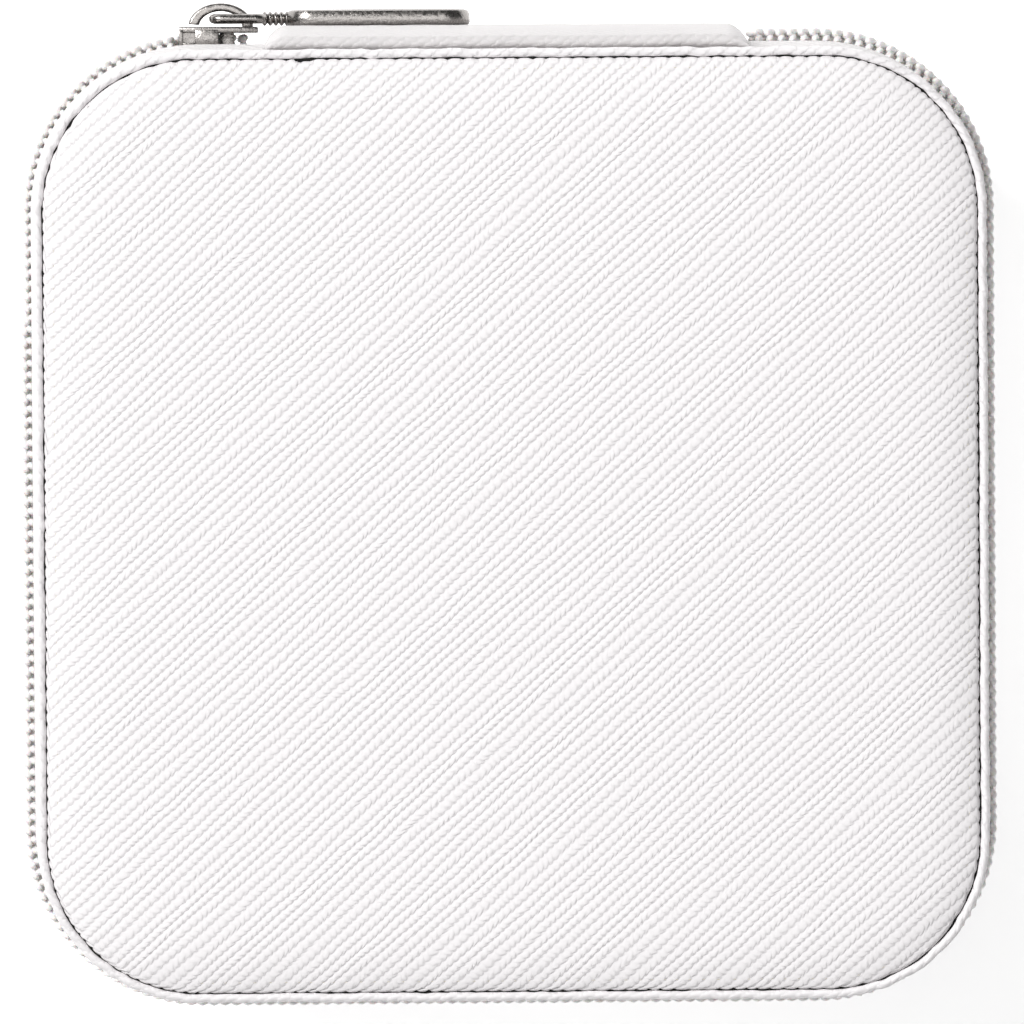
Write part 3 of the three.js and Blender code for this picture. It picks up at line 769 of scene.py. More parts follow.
class JEWELRYBOX_OT_panels(bpy.types.Operator):
    """Builds the padded lid panel and the panel underneath."""

    bl_idname = "jewelrybox.panels"
    bl_label = "Lid and base panels"

    def execute(self, context):
        case = context.scene.jewelry_case
        edge = case.seam - case.seam_gap / 2
        rim = edge - 0.25 * MM
        under = TOP - 1.75 * MM
        lid = self.ridged_top(case, edge - 0.3 * MM)
        for out, drop in ((0.16, 0), (0.06, 0), (0, 0), (0, 0.25), (0.05, 1.0), (0.3, 1.1)):
            self.add_rim(lid, case, edge, out * MM, drop * MM, under)
        close_ends(lid)
        self.notch_the_edge(lid, case, edge)
        lid_panel = finish_piece(
            "lid_cover_panel", lid, ["coated_leather_embossed"], "lid",
            ["lid_cover"], lay_rows, sharp=70,
        )
        self.seam_line(case)
        flat = [(rim, -under + TOP), (edge - 0.1 * MM, 1.6 * MM), (edge - 0.1 * MM, 0.8 * MM)]
        flat += [(edge - 0.35 * MM, 0.35 * MM), (edge - 0.8 * MM, 0.08 * MM), (edge - 1.6 * MM, 0)]
        base = close_ends(round_the_box(flat, closed=False))
        finish_piece(
            "base_bottom_cover", base, ["coated_leather_wall_painted_shade"], "base",
            ["base_bottom_panel"], lay_flat,
        )
        return {"FINISHED"}

    def height(self, case, inward):
        """The padded panel's height at a distance in from its edge."""
        turned = case.edge_drop * math.exp(-inward / case.edge_radius)
        return TOP - turned - case.pad_drop * math.exp(-inward / case.pad_reach)

    def ridged_top(self, case, edge):
        """A fine sheet whose rows follow the ridges of the embossing, cut to a rounded square."""
        pitch = case.emboss_pitch
        reach = math.sqrt(2) * CORNER + edge - CORNER + 2 * pitch
        rows = math.ceil(reach / pitch)
        long = round(reach / (0.5 * MM))
        bm = bmesh.new()
        layer = bm.verts.layers.float_vector.new("grain_at")
        grid = Matrix.Diagonal((reach, rows * pitch, 1, 1))
        bmesh.ops.create_grid(
            bm, x_segments=2 * long, y_segments=2 * rows * len(RIDGE), size=1, matrix=grid
        )
        turn = Matrix.Rotation(case.emboss_angle, 3, "Z")
        for vert in bm.verts:
            vert[layer] = turn @ vert.co
            drift = RIDGE_DRIFT * noise.noise((vert.co.x / (28 * MM), vert.co.y / (3.4 * MM), 0))
            ripple = RIDGE_RIPPLE * noise.noise((vert.co.x / (3.3 * MM), vert.co.y / (1.3 * MM), 5))
            vert.co.y += (drift + ripple) * pitch
            vert.co = turn @ vert.co
        for step in range(4 * CORNER_CUTS):
            facing = 2 * math.pi * step / (4 * CORNER_CUTS)
            outward = Vector((math.cos(facing), math.sin(facing), 0))
            centre = Vector([math.copysign(CORNER, part) for part in outward.xy] + [0])
            bmesh.ops.bisect_plane(
                bm,
                geom=list(bm.verts) + list(bm.edges) + list(bm.faces),
                plane_co=centre + outward * (edge - CORNER),
                plane_no=outward,
                clear_outer=True,
            )
        back = turn.transposed()
        for vert in bm.verts:
            along, _ = distance_round(vert.co.x, vert.co.y, edge)
            nearest, _, _ = on_the_zip(along, edge)
            inward = (nearest.xy - vert.co.xy).length + 0.3 * MM
            across = -(back @ vert[layer]).y / pitch * len(RIDGE)
            before = math.floor(across)
            low, high = RIDGE[before % len(RIDGE)], RIDGE[(before + 1) % len(RIDGE)]
            relief = low + (high - low) * (across - before)
            vert.co.z = self.height(case, inward) - case.ridge_depth * (1 - relief)
        return bm

    def add_rim(self, bm, case, edge, inward, drop, under):
        """Carries the sheet's open edge on to the next ring of the turned rim."""
        open_edges = [e for e in bm.edges if e.is_boundary]
        made = bmesh.ops.extrude_edge_only(bm, edges=open_edges)["geom"]
        for vert in made:
            if isinstance(vert, bmesh.types.BMVert):
                along, _ = distance_round(vert.co.x, vert.co.y, edge)
                place, _, _ = on_the_zip(along, edge - inward)
                level = max(under, self.height(case, inward) - drop)
                vert.co = (place.x, place.y, level)

    def seam_line(self, case):
        """The black edge of the card, which shows in the seam as a thin broken line; it stands higher on the
        sides away from the light, so that it also paints the seam's shadow.
        """
        low = TOP - 1.7 * MM
        reach = 0.3 * MM
        top = TOP - 1.54 * MM
        profile = [(case.seam - reach, low), (case.seam + reach, low)]
        profile += [(case.seam + reach, top), (case.seam - reach, top)]
        bm = round_the_box(profile, step=0.4 * MM, bends=60)
        for vert in bm.verts:
            if vert.co.z > low + 0.1 * MM:
                along, _ = distance_round(vert.co.x, vert.co.y)
                # Painted shadow: the dark edge is raised on the right and front, away from the key light,
                # and sunk on the lit sides.
                away_from_light = (vert.co.x - vert.co.y * 0.4) / WALL_HALF
                vert.co.z += min(0.02, 0.06 * away_from_light) * MM + waver((along, 1, 0), 1.1 * MM, 0.2 * MM)
        finish_piece("lid_card_edge_seam_shadow", bm, ["bonded_card_pressed"], "lid", sharp=30)

    def notch_the_edge(self, bm, case, edge):
        """Opens the seam where a groove of the embossing meets it, and once behind the pull."""
        slope = Vector((-math.sin(case.emboss_angle), math.cos(case.emboss_angle)))
        layer = bm.verts.layers.float_vector["grain_at"]
        fade_reach = 0.55 * MM
        notch = 0.11 * MM
        behind_pull, half_width, deeper = -21 * MM, 0.8 * MM, 0.2 * MM
        for vert in bm.verts:
            along, _ = distance_round(vert.co.x, vert.co.y, edge)
            on_edge, facing, _ = on_the_zip(along, edge)
            inward = (on_edge.xy - vert.co.xy).length
            fade = max(0.0, 1 - inward / fade_reach)
            rows = slope.dot(vert[layer].xy) / case.emboss_pitch
            groove = (0.5 + 0.5 * math.cos(2 * math.pi * rows)) ** 3
            depth = notch * groove * (1 + waver((along, 0, 2), 4 * MM, 1.2))
            if abs(along - behind_pull) < half_width:
                depth += deeper
            vert.co -= Vector((math.sin(facing), math.cos(facing), 0)) * depth * fade


class JEWELRYBOX_OT_piping(bpy.types.Operator):
    """Builds the leather piping on the lid's seam and on the base's."""

    bl_idname = "jewelrybox.piping"
    bl_label = "Piping"

    def execute(self, context):
        case = context.scene.jewelry_case
        radius = case.piping_radius
        out = case.seam + case.seam_gap / 2 + radius
        sides = 12
        high = (PIPING_LOW.z + PIPING_HIGH.z) / 2 + 0.1 * MM
        for body, level in (("lid", high), ("base", TOP - high)):
            circle = [
                (out + radius * math.cos(turn), level + radius * math.sin(turn))
                for turn in (2 * math.pi * i / sides for i in range(sides))
            ]
            gap = case.piping_break / 2
            bm = close_ends(round_the_box(circle, gap, -gap, step=0.5 * MM, bends=50))
            for vert in bm.verts:
                along, _ = distance_round(vert.co.x, vert.co.y)
                vert.co.z += waver((along, 0, level), 2.1 * MM, 0.12 * MM)
                push = 1 + waver((along, 5, level), 1.1 * MM, 0.0026, 3.0)
                vert.co.x *= push
                vert.co.y *= push
            finish_piece(
                f"{body}_piping_cord", bm, ["coated_leather_stretched"], body,
                [f"{body}_piping"], lay_round, sharp=80,
            )
        return {"FINISHED"}


def mirrored(profile):
    """The same profile turned upside down about the zip's line."""
    return [(out, 2 * ZIP_LEVEL - height) for out, height in profile]


class JEWELRYBOX_OT_walls(bpy.types.Operator):
    """Builds the side walls, which lean out to a turned edge at the zip."""

    bl_idname = "jewelrybox.walls"
    bl_label = "Side walls"

    def execute(self, context):
        case = context.scene.jewelry_case
        low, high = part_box("lid_wall")
        inner = LINER_HIGH.x + 0.3 * MM
        lip = WALL_HALF + case.wall_flare
        outside = [
            (case.seam - 0.4 * MM, high.z + 0.35 * MM),
            (WALL_HALF - 0.15 * MM, high.z + 0.1 * MM),
            (WALL_HALF + 0.05 * MM, high.z - 0.3 * MM),
            (WALL_HALF + 0.1 * MM, high.z - 2.5 * MM),
            (WALL_HALF + 0.12 * MM, high.z - 6 * MM),
            (WALL_HALF + 0.2 * MM, high.z - 9.5 * MM),
            (WALL_HALF + 0.42 * MM, low.z + 4.2 * MM),
            (lip - 0.42 * MM, low.z + 2.2 * MM),
            (lip - 0.12 * MM, low.z + 0.9 * MM),
            (lip, low.z + 0.35 * MM),
            (lip - 0.08 * MM, low.z - 0.05 * MM),
            (lip - 0.35 * MM, low.z - 0.15 * MM),
            (lip - 0.7 * MM, low.z + 0.1 * MM),
        ]
        inside = [
            (inner + 0.3 * MM, low.z + 0.2 * MM),
            (inner, low.z + 0.5 * MM),
            (inner, (low.z + high.z) / 2),
            (inner, high.z - 0.4 * MM),
            (inner + 0.2 * MM, high.z + 0.2 * MM),
        ]
        shape = outside + inside
        for body, profile in (("lid", shape), ("base", mirrored(shape))):
            bm = round_the_box(profile)
            bmesh.ops.recalc_face_normals(bm, faces=bm.faces)
            for face in bm.faces:
                centre = face.calc_center_median()
                away = Vector((centre.x, centre.y, 0))
                if face.normal.dot(away) < 0 and abs(face.normal.z) < 0.5:
                    face.material_index = 1
            for vert in bm.verts:
                along, _ = distance_round(vert.co.x, vert.co.y)
                if vert.co.xy.length > 0 and max(abs(vert.co.x), abs(vert.co.y)) > WALL_HALF:
                    vert.co.z += waver((along, 9, 0), 9 * MM, 0.12 * MM)
            finish_piece(
                f"{body}_side_wall", bm, ["coated_leather_wall_painted_shade", "cotton_velvet_cut_pile"],
                body, [f"{body}_wall"], lay_round,
            )
        return {"FINISHED"}


class JEWELRYBOX_OT_spine(bpy.types.Operator):
    """Builds the bowed leather spine that the lid hinges on."""

    bl_idname = "jewelrybox.spine"
    bl_label = "Spine"

    def execute(self, context):
        case = context.scene.jewelry_case
        half = SPINE_HIGH.x
        low, high = SPINE_LOW.z, SPINE_HIGH.z
        middle = (low + high) / 2
        top = SPINE_MID.y
        edge = case.spine_edge
        foot = WALL_HALF + 0.12 * MM
        back = []
        for i in range(25):
            height = low + 1.3 * MM + (high - low - 2.6 * MM) * i / 24
            bow = 1 - ((height - middle) / (middle - low)) ** 2
            back.append((foot + 0.95 * MM + (top - foot - 0.95 * MM) * bow**0.8, height))
        rolls = []
        for i in range(7):
            turn = math.pi * (i / 6) - 0.3
            rolls.append((edge * math.cos(turn), edge * math.sin(turn)))
        over = [(foot + edge + 0.45 * MM + x, high - edge * 0.6 + z) for x, z in rolls]
        under = [(y, low + high - z) for y, z in reversed(over)]
        inner = [(max(foot, y - 1.1 * MM), z) for y, z in reversed(back)]
        section = back + over + inner + under
        bm = measuring_bmesh()
        verts = [bm.verts.new((-half, y, z)) for y, z in section]
        edges = [bm.edges.new(pair) for pair in zip(verts, verts[1:] + verts[:1])]
        measure_wrap(bm, verts)
        carry(bm, verts + edges, 125, shift=(2 * half, 0, 0))
        close_ends(bm)
        for vert in bm.verts:
            near_end = min(1.0, (half - abs(vert.co.x)) / (2.2 * MM))
            rise = 0.4 + 0.6 * math.sin(near_end * math.pi / 2) ** 0.8
            vert.co.y = foot + (vert.co.y - foot) * rise
            lean = (vert.co.z - middle) / (high - low)
            vert.co.x *= 1 - 0.035 * lean * (1 if vert.co.x > 0 else 0.4)
            vert.co.y += waver((vert.co.x, 0, vert.co.z), 3.2 * MM, 0.07 * MM, 5.0)
            vert.co.z += waver((vert.co.x, 3, 0), 3.4 * MM, 0.1 * MM, 7.0)
        spine = finish_piece(
            "spine_strip", bm, ["coated_leather_spine_painted_shade"], None,
            ["spine_lower", "spine_upper"], lay_across, sharp=70,
        )
        level = JOINTS["lid_hinge"]["pos_m"][2]
        start, end = level - 3 * MM, level + 3 * MM
        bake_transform(spine, "base", "lid", start=(0, top, start), end=(0, top, end))
        return {"FINISHED"}


# The zip -------------------------------------------------------------------------------


def zip_start():
    """Where the zip starts and ends at the back, either side of the spine."""
    return SPINE_HIGH.x + 0.3 * MM


class JEWELRYBOX_OT_tapes(bpy.types.Operator):
    """Builds the two zip tapes and the threads that hold the coil."""

    bl_idname = "jewelrybox.tapes"
    bl_label = "Zip tapes"

    def execute(self, context):
        thread = context.scene.jewelry_zip.thread
        out = TAPE_OUT
        outside = [
            (out - 0.1 * MM, ZIP_LEVEL + 7.2 * MM),
            (out + 0.02 * MM, ZIP_LEVEL + 5.6 * MM),
            (out + 0.06 * MM, ZIP_LEVEL + 4 * MM),
            (out + 0.04 * MM, ZIP_LEVEL + 2.2 * MM),
            (out - 0.05 * MM, ZIP_LEVEL + 0.5 * MM),
        ]
        inside = [(y - 0.35 * MM, z) for y, z in reversed(outside)]
        start = zip_start()
        for body, profile, up in (
            ("lid", outside + inside, 1), ("base", mirrored(outside + inside), -1)
        ):
            far = -start
            bm = close_ends(round_the_box(profile, start, far))
            finish_piece(
                f"{body}_tape_woven", bm, ["polyester_tape_woven"], body,
                [f"{body}_zip_tape"], lay_round,
            )
            cords = bmesh.new()
            for height in (2.35, 3.0):
                level = ZIP_LEVEL + up * height * MM
                ring = [
                    (out + 0.1 * MM + thread / 2 * math.cos(turn), level + thread / 2 * math.sin(turn))
                    for turn in (math.pi * i / 3 for i in range(6))
                ]
                part = close_ends(round_the_box(ring, start, far, step=0.6 * MM, bends=44))
                for vert in part.verts:
                    along, _ = distance_round(vert.co.x, vert.co.y)
                    push = 1 + 0.0011 * math.sin(along / (0.19 * MM))
                    vert.co.x *= push
                    vert.co.y *= push
                mesh = bpy.data.meshes.new("thread")
                part.to_mesh(mesh)
                part.free()
                cords.from_mesh(mesh)
                bpy.data.meshes.remove(mesh)
            finish_piece(
                f"{body}_coil_threads", cords, ["polyester_thread_spun"], body
            )
        return {"FINISHED"}


def on_the_zip(along, out):
    """The place at a distance along the zip and the way it faces there, from the back's middle."""
    radius = out - CORNER
    quarter = radius * math.pi / 2
    side = 2 * CORNER + quarter
    turn = math.floor((along + side / 2) / side)
    local = along - turn * side
    straight = max(-CORNER, min(CORNER, local))
    bend = (local - straight) / radius
    x = straight + radius * math.sin(bend)
    y = CORNER + radius * math.cos(bend)
    facing = turn * math.pi / 2 + bend
    spin = Matrix.Rotation(-turn * math.pi / 2, 4, "Z")
    return spin @ Vector((x, y, 0)), facing, 4 * side


class JEWELRYBOX_OT_coils(bpy.types.Operator):
    """Builds the zip's two rows of coil teeth, meshed in a herringbone."""

    bl_idname = "jewelrybox.coils"
    bl_label = "Zip coils"

    def execute(self, context):
        sizes = context.scene.jewelry_zip
        out = COIL_OUT + 0.1 * MM
        start = zip_start()
        _, _, whole = on_the_zip(0, out)
        count = int((whole - 2 * start) / sizes.pitch)
        parted = (SLIDER_LOW.x + 1.4 * MM, SLIDER_HIGH.x + 0.6 * MM)
        part_by = 0.4 * MM
        pulled_in = 0.27 * MM  # where the slider draws the zip in at the corner beside it
        pulled_from = CORNER - 12 * MM
        ball = ball_mesh()
        for body, up in (("lid", 1), ("base", -1)):
            bm = bmesh.new()
            for i in range(count):
                along = start + sizes.pitch * (i + 0.25 + (0.5 if body == "lid" else 0))
                place, facing, _ = on_the_zip(along, out)
                at_slider = place.y > CORNER and SLIDER_LOW.x < place.x < -SPINE_HIGH.x
                if body == "lid" and at_slider:
                    continue
                if place.x < -SPINE_HIGH.x and place.y > pulled_from:
                    outward = Vector((math.sin(facing), math.cos(facing), 0))
                    place -= outward * pulled_in
                open_by = 0.0
                if place.y > CORNER and parted[0] < place.x < parted[1]:
                    open_by = part_by
                middle = sizes.tooth_height / 2 - 0.06 * MM + open_by
                size_of = (sizes.tooth_width, sizes.tooth_depth, sizes.tooth_height)
                stand = (
                    Matrix.Translation(place + Vector((0, 0, ZIP_LEVEL + up * middle)))
                    @ Matrix.Rotation(-facing, 4, "Z")
                )
                add_copy(
                    bm,
                    ball,
                    stand
                    @ Matrix.Rotation(-up * sizes.tooth_slant, 4, "Y")
                    @ Matrix.Rotation(sizes.tooth_turn, 4, "Z")
                    @ Matrix.Diagonal((*size_of, 1)),
                )
                add_copy(
                    bm,
                    ball,
                    stand
                    @ Matrix.Translation((0.05 * MM, -0.66 * MM, up * 0.4 * MM))
                    @ Matrix.Rotation(-sizes.tooth_turn, 4, "Z")
                    @ Matrix.Diagonal((0.78 * MM, 1.0 * MM, 1.3 * MM, 1)),
                )
            finish_piece(
                f"{body}_coil_teeth", bm, ["nylon_coil_drawn"], body,
                [f"{body}_zip_coil"], sharp=180, turn=False,
            )
        bpy.data.meshes.remove(ball)
        return {"FINISHED"}


class JEWELRYBOX_OT_slider(bpy.types.Operator):
    """Builds the zip's slider and its crown."""

    bl_idname = "jewelrybox.slider"
    bl_label = "Slider"

    def execute(self, context):
        sizes = context.scene.jewelry_zip
        low, high = SLIDER_LOW, SLIDER_HIGH
        soft = sizes.bevel
        face = high.y
        nose = high.x
        bm = bmesh.new()
        rounded_box(bm, (low.x, face - 0.6 * MM, low.z), high, soft, 2)
        nose_verts = [v for v in bm.verts if v.co.x > nose - 1.2 * MM]
        bmesh.ops.scale(
            bm, vec=(1, 1, 0.8), space=Matrix.Translation((0, 0, -ZIP_LEVEL)), verts=nose_verts
        )
        flange_end = low.x + 4.1 * MM
        mouth = (low.x + 0.45 * MM, low.x + 1.7 * MM)
        inner = TAPE_OUT + 0.35 * MM
        deep = 1.2 * MM
        for z0, z1 in ((low.z, low.z + deep), (high.z - deep, high.z)):
            for x0, x1 in ((low.x, mouth[0]), (mouth[1], flange_end)):
                rounded_box(bm, (x0, inner, z0), (x1, face - 0.3 * MM, z1), soft / 2, 2)
            rounded_box(bm, (mouth[0], inner, z0), (mouth[1], inner + 0.3 * MM, z1), soft / 2, 2)
            shelf = z0 if z1 == high.z else z1 - 0.3 * MM
            rounded_box(
                bm, (low.x, inner, shelf), (flange_end, face - 0.3 * MM, shelf + 0.3 * MM), 0
            )
        back_end = low.x + 5.7 * MM
        rounded_box(
            bm, (low.x, low.y, low.z), (back_end, low.y + 0.5 * MM, high.z), soft, 2
        )
        blade = 0.3 * MM
        rounded_box(
            bm,
            (back_end - 1.5 * MM, low.y + 0.2 * MM, ZIP_LEVEL - blade),
            (back_end, face - 0.2 * MM, ZIP_LEVEL + blade),
            soft,
            2,
        )
        finish_piece(
            "slider_casting", bm, ["cast_zinc_nickel_plated"], "slider", ["slider_body"]
        )
        self.crown()
        return {"FINISHED"}

    def crown(self):
        """A flat strip bent into an arch, its free foot just off the plate."""
        low, high = CROWN_LOW, CROWN_HIGH
        centre = Vector(((low.x + high.x) / 2, low.y, ZIP_LEVEL))
        span = (high.x - low.x) / 2
        rise = high.y - low.y
        thick = 1.15 * MM
        wide = (high.z - low.z) / 2
        soft = 0.3 * MM
        bm = bmesh.new()
        section = []
        for x, z in ((0, -1), (1, -1), (1, 1), (0, 1)):
            for turn in range(4):
                angle = math.pi / 2 * (turn / 3) + {(1, 1): 0, (0, 1): math.pi / 2,
                                                    (0, -1): math.pi, (1, -1): -math.pi / 2}[(x, z)]
                out = span - thick + x * thick + (-soft if x else soft) + soft * math.cos(angle)
                side = z * (wide - soft) + soft * math.sin(angle)
                section.append((out, side))
        verts = [bm.verts.new(centre + Vector((out, 0, side))) for out, side in section]
        edges = [bm.edges.new(pair) for pair in zip(verts, verts[1:] + verts[:1])]
        carry(bm, verts + edges, 24, centre=centre, axis=(0, 0, 1), angle=math.radians(172))
        close_ends(bm)
        about = Matrix.Translation(-centre)
        bmesh.ops.scale(bm, vec=(1, rise / span, 1), space=about, verts=bm.verts)
        tips = [edge for edge in bm.edges if edge.is_manifold and edge.calc_face_angle(0) > 1.2]
        bevel(bm, tips, 0.1 * MM, 2)
        finish_piece(
            "slider_crown_spring", bm, ["cast_zinc_nickel_plated"], "slider",
            ["slider_crown"], sharp=60,
        )


class JEWELRYBOX_OT_pull(bpy.types.Operator):
    """Builds the pull: a loop, a beaded neck and a faceted bar."""

    bl_idname = "jewelrybox.pull"
    bl_label = "Pull"

    def execute(self, context):
        sizes = context.scene.jewelry_zip
        pivot = Vector(JOINTS["pull_swing"]["pos_m"])
        half_bar = (PULL_HIGH.z - PULL_LOW.z) / 2
        loop_end = pivot.x + 5.1 * MM
        bar_start = loop_end + 2.4 * MM
        radius = 0.5 * MM
        out = 1.7 * MM
        bm = bmesh.new()
        corner = 0.8 * MM
        points = []
        for cx, cz, first in (
            (loop_end - corner, out - corner, 0), (pivot.x + corner, out - corner, 1),
            (pivot.x + corner, -out + corner, 2), (loop_end - corner, -out + corner, 3),
        ):
            for i in range(6):
                turn = math.pi / 2 * (first + i / 5)
                x = cx + corner * math.cos(turn)
                z = ZIP_LEVEL + cz + corner * math.sin(turn)
                points.append((x, pivot.y, z))
        wire(bm, points, radius, cyclic=True, sides=16)
        beads = sizes.beads
        length = bar_start - loop_end + 0.5 * MM
        profile = [(0, 0)]
        for i in range(beads * 6 + 1):
            share = i / (beads * 6)
            swell = abs(math.sin(math.pi * beads * share))
            profile.append((0.46 * MM + 0.3 * MM * swell, length * share))
        profile.append((0, length))
        along = Matrix.Translation((loop_end - 0.1 * MM, pivot.y, ZIP_LEVEL))
        lathe(bm, profile, along @ Matrix.Rotation(math.pi / 2, 4, "Y"), 20)
        finish_piece(
            "pull_loop_and_neck", bm, ["cast_zinc_nickel_plated"], "pull", sharp=80
        )
        bar = bmesh.new()
        low = (bar_start, PULL_LOW.y, PULL_LOW.z)
        rounded_box(bar, low, PULL_HIGH + Vector((0.7 * MM, 0.15 * MM, 0)), 0)
        upright = [e for e in bar.edges if abs((e.verts[0].co - e.verts[1].co).normalized().y) > 0.9]
        bevel(bar, upright, half_bar * 0.98, 10)
        middle = (PULL_LOW.y + PULL_HIGH.y) / 2
        for outer, facet, rounds in ((True, sizes.outer_round, 2), (False, sizes.inner_round, 2)):
            rim = [
                e for e in bar.edges
                if abs(e.verts[0].co.y - e.verts[1].co.y) < 1e-7
                and (e.verts[0].co.y > middle) == outer
                and e.calc_face_angle(0) > 1.2
            ]
            bevel(bar, rim, facet, rounds)
        finish_piece(
            "pull_bar", bar, ["cast_zinc_nickel_plated"], "pull", ["pull_tag"], sharp=30
        )
        return {"FINISHED"}


# Inside the base -----------------------------------------------------------------------


class JEWELRYBOX_OT_liner(bpy.types.Operator):
    """Builds the velvet liner whose lip stands up into the lid."""

    bl_idname = "jewelrybox.liner"
    bl_label = "Base liner"

    def execute(self, context):
        outer = LINER_HIGH.x
        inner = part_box("base_floor")[1].x + 0.3 * MM
        low, high = LINER_LOW.z, LINER_HIGH.z
        round_off = (outer - inner) / 2
        middle = (outer + inner) / 2
        profile = [(outer, low), (outer, (low + high) / 2), (outer, high - round_off)]
        for i in range(1, 8):
            turn = math.pi * i / 8
            profile.append(
                (middle + round_off * math.cos(turn), high - round_off + round_off * math.sin(turn))
            )
        profile += [(inner, high - round_off), (inner, (low + high) / 2), (inner, low)]
        finish_piece(
            "base_liner_velvet", round_the_box(profile), ["cotton_velvet_cut_pile"], "base",
            ["base_liner"],
        )
        return {"FINISHED"}


def stuffed(source, voxel, scale, cap):
    """Swells a closed shape by cloth simulation, and gives it back as a bmesh.

    The cloth solver is steadier at the size of a real cushion, so the shape is scaled up first.
    """
    mesh = bpy.data.meshes.new("stuffing")
    source.to_mesh(mesh)
    source.free()
    mesh.transform(Matrix.Scale(scale, 4))
    holder = bpy.data.objects.new("stuffing", mesh)
    bpy.context.scene.collection.objects.link(holder)
    bpy.context.view_layer.objects.active = holder
    remesh = holder.modifiers.new("remesh", "REMESH")
    remesh.mode = "VOXEL"
    remesh.voxel_size = voxel * scale
    steps = 20
    bpy.context.view_layer.update()
    graph = bpy.context.evaluated_depsgraph_get()
    even = bpy.data.meshes.new_from_object(holder.evaluated_get(graph))
    holder.modifiers.clear()
    holder.data = even
    start = [vert.co.copy() for vert in even.vertices]
    if steps:
        cloth = holder.modifiers.new("cloth", "CLOTH")
        cloth.settings.use_pressure = True
        cloth.settings.uniform_pressure_force = 4.0
        cloth.settings.effector_weights.gravity = 0.0
        for step in range(1, steps + 1):
            bpy.context.scene.frame_set(step)
        graph = bpy.context.evaluated_depsgraph_get()
        swollen = bpy.data.meshes.new_from_object(holder.evaluated_get(graph))
        bpy.context.scene.frame_set(1)
        holder.modifiers.clear()
        for vert, first in zip(swollen.vertices, start):
            move = vert.co - first
            if move.length > cap * scale:
                vert.co = first + move.normalized() * cap * scale
    else:
        swollen = even.copy()
    swollen.transform(Matrix.Scale(1 / scale, 4))
    bm = bmesh.new()
    bm.from_mesh(swollen)
    bpy.data.objects.remove(holder)
    bmesh.ops.smooth_vert(
        bm, verts=bm.verts, factor=0.5, use_axis_x=True, use_axis_y=True, use_axis_z=True
    )
    return bm


class JEWELRYBOX_OT_rolls(bpy.types.Operator):
    """Builds the stuffed ring rolls: both end ones, and one straight one copied between them."""

    bl_idname = "jewelrybox.rolls"
    bl_label = "Ring rolls"

    def execute(self, context):
        inside = context.scene.jewelry_inside
        names = sorted(n for n in frame["nodes"] if n.startswith("ring_roll_"))
        shapes = {}
        for name in names:
            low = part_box(name)[0]
            kind = name if name in (names[0], names[-1]) else "straight"
            if kind not in shapes:
                shapes[kind] = (self.roll(inside, name), low.y)
            shape, made_at = shapes[kind]
            mesh = shape.copy()
            mesh.transform(Matrix.Translation((0, low.y - made_at, 0)))
            for vert in mesh.vertices:
                vert.co.z += waver(vert.co, 9 * MM, 0.12 * MM, low.y * 1000)
                vert.co.x += waver(vert.co, 7 * MM, 0.1 * MM, low.y * 700)
            roll = link_piece(
                f"{name}_stuffed", mesh, ["cotton_velvet_cut_pile"], "base", [name], 180
            )
        for shape, _ in shapes.values():
            bpy.data.meshes.remove(shape)
        return {"FINISHED"}

    def roll(self, inside, name):
        """One roll, drawn slightly small and then swollen."""
        bm = bmesh.new()
        bm.from_mesh(frame["nodes"][name].data)
        bmesh.ops.remove_doubles(bm, verts=bm.verts, dist=0.01 * MM)
        low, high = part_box(name)
        centre = (low + high) / 2
        room = [1 - 2 * inside.puff / (high[i] - low[i]) for i in range(3)]
        bmesh.ops.scale(bm, vec=room, space=Matrix.Translation(-centre), verts=bm.verts)
        bm = stuffed(bm, 0.9 * MM, 20.0, inside.puff)
        floor = low.z
        for vert in bm.verts:
            vert.co.z = max(vert.co.z, floor)
        mesh = bpy.data.meshes.new("roll")
        bm.to_mesh(mesh)
        bm.free()
        return mesh


class JEWELRYBOX_OT_dividers(bpy.types.Operator):
    """Builds the velvet-covered dividers."""

    bl_idname = "jewelrybox.dividers"
    bl_label = "Dividers"

    def execute(self, context):
        inside = context.scene.jewelry_inside
        for name in ("divider_long", "divider_cross_1", "divider_cross_2"):
            low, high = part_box(name)
            bm = rounded_box(bmesh.new(), low, high, inside.pile * 1.6, 4)
            finish_piece(
                f"{name}_covered", bm, ["cotton_velvet_cut_pile"], "base", [name]
            )
        return {"FINISHED"}


# Inside the lid ------------------------------------------------------------------------


class JEWELRYBOX_OT_lining(bpy.types.Operator):
    """Builds the velvet panel inside the lid."""

    bl_idname = "jewelrybox.lining"
    bl_label = "Lid lining"

    def execute(self, context):
        half = LINING_HIGH.x
        low, high = LINING_LOW.z, LINING_HIGH.z
        profile = [(half, high), (half, high - 0.4 * MM), (half - 0.15 * MM, low + 0.4 * MM)]
        profile += [(half - 0.45 * MM, low + 0.12 * MM), (half - 1.1 * MM, low), (CORNER + MM, low)]
        bm = close_ends(round_the_box(profile, closed=False))
        finish_piece(
            "lid_lining_velvet", bm, ["cotton_velvet_cut_pile"], "lid", ["lid_lining"]
        )
        return {"FINISHED"}


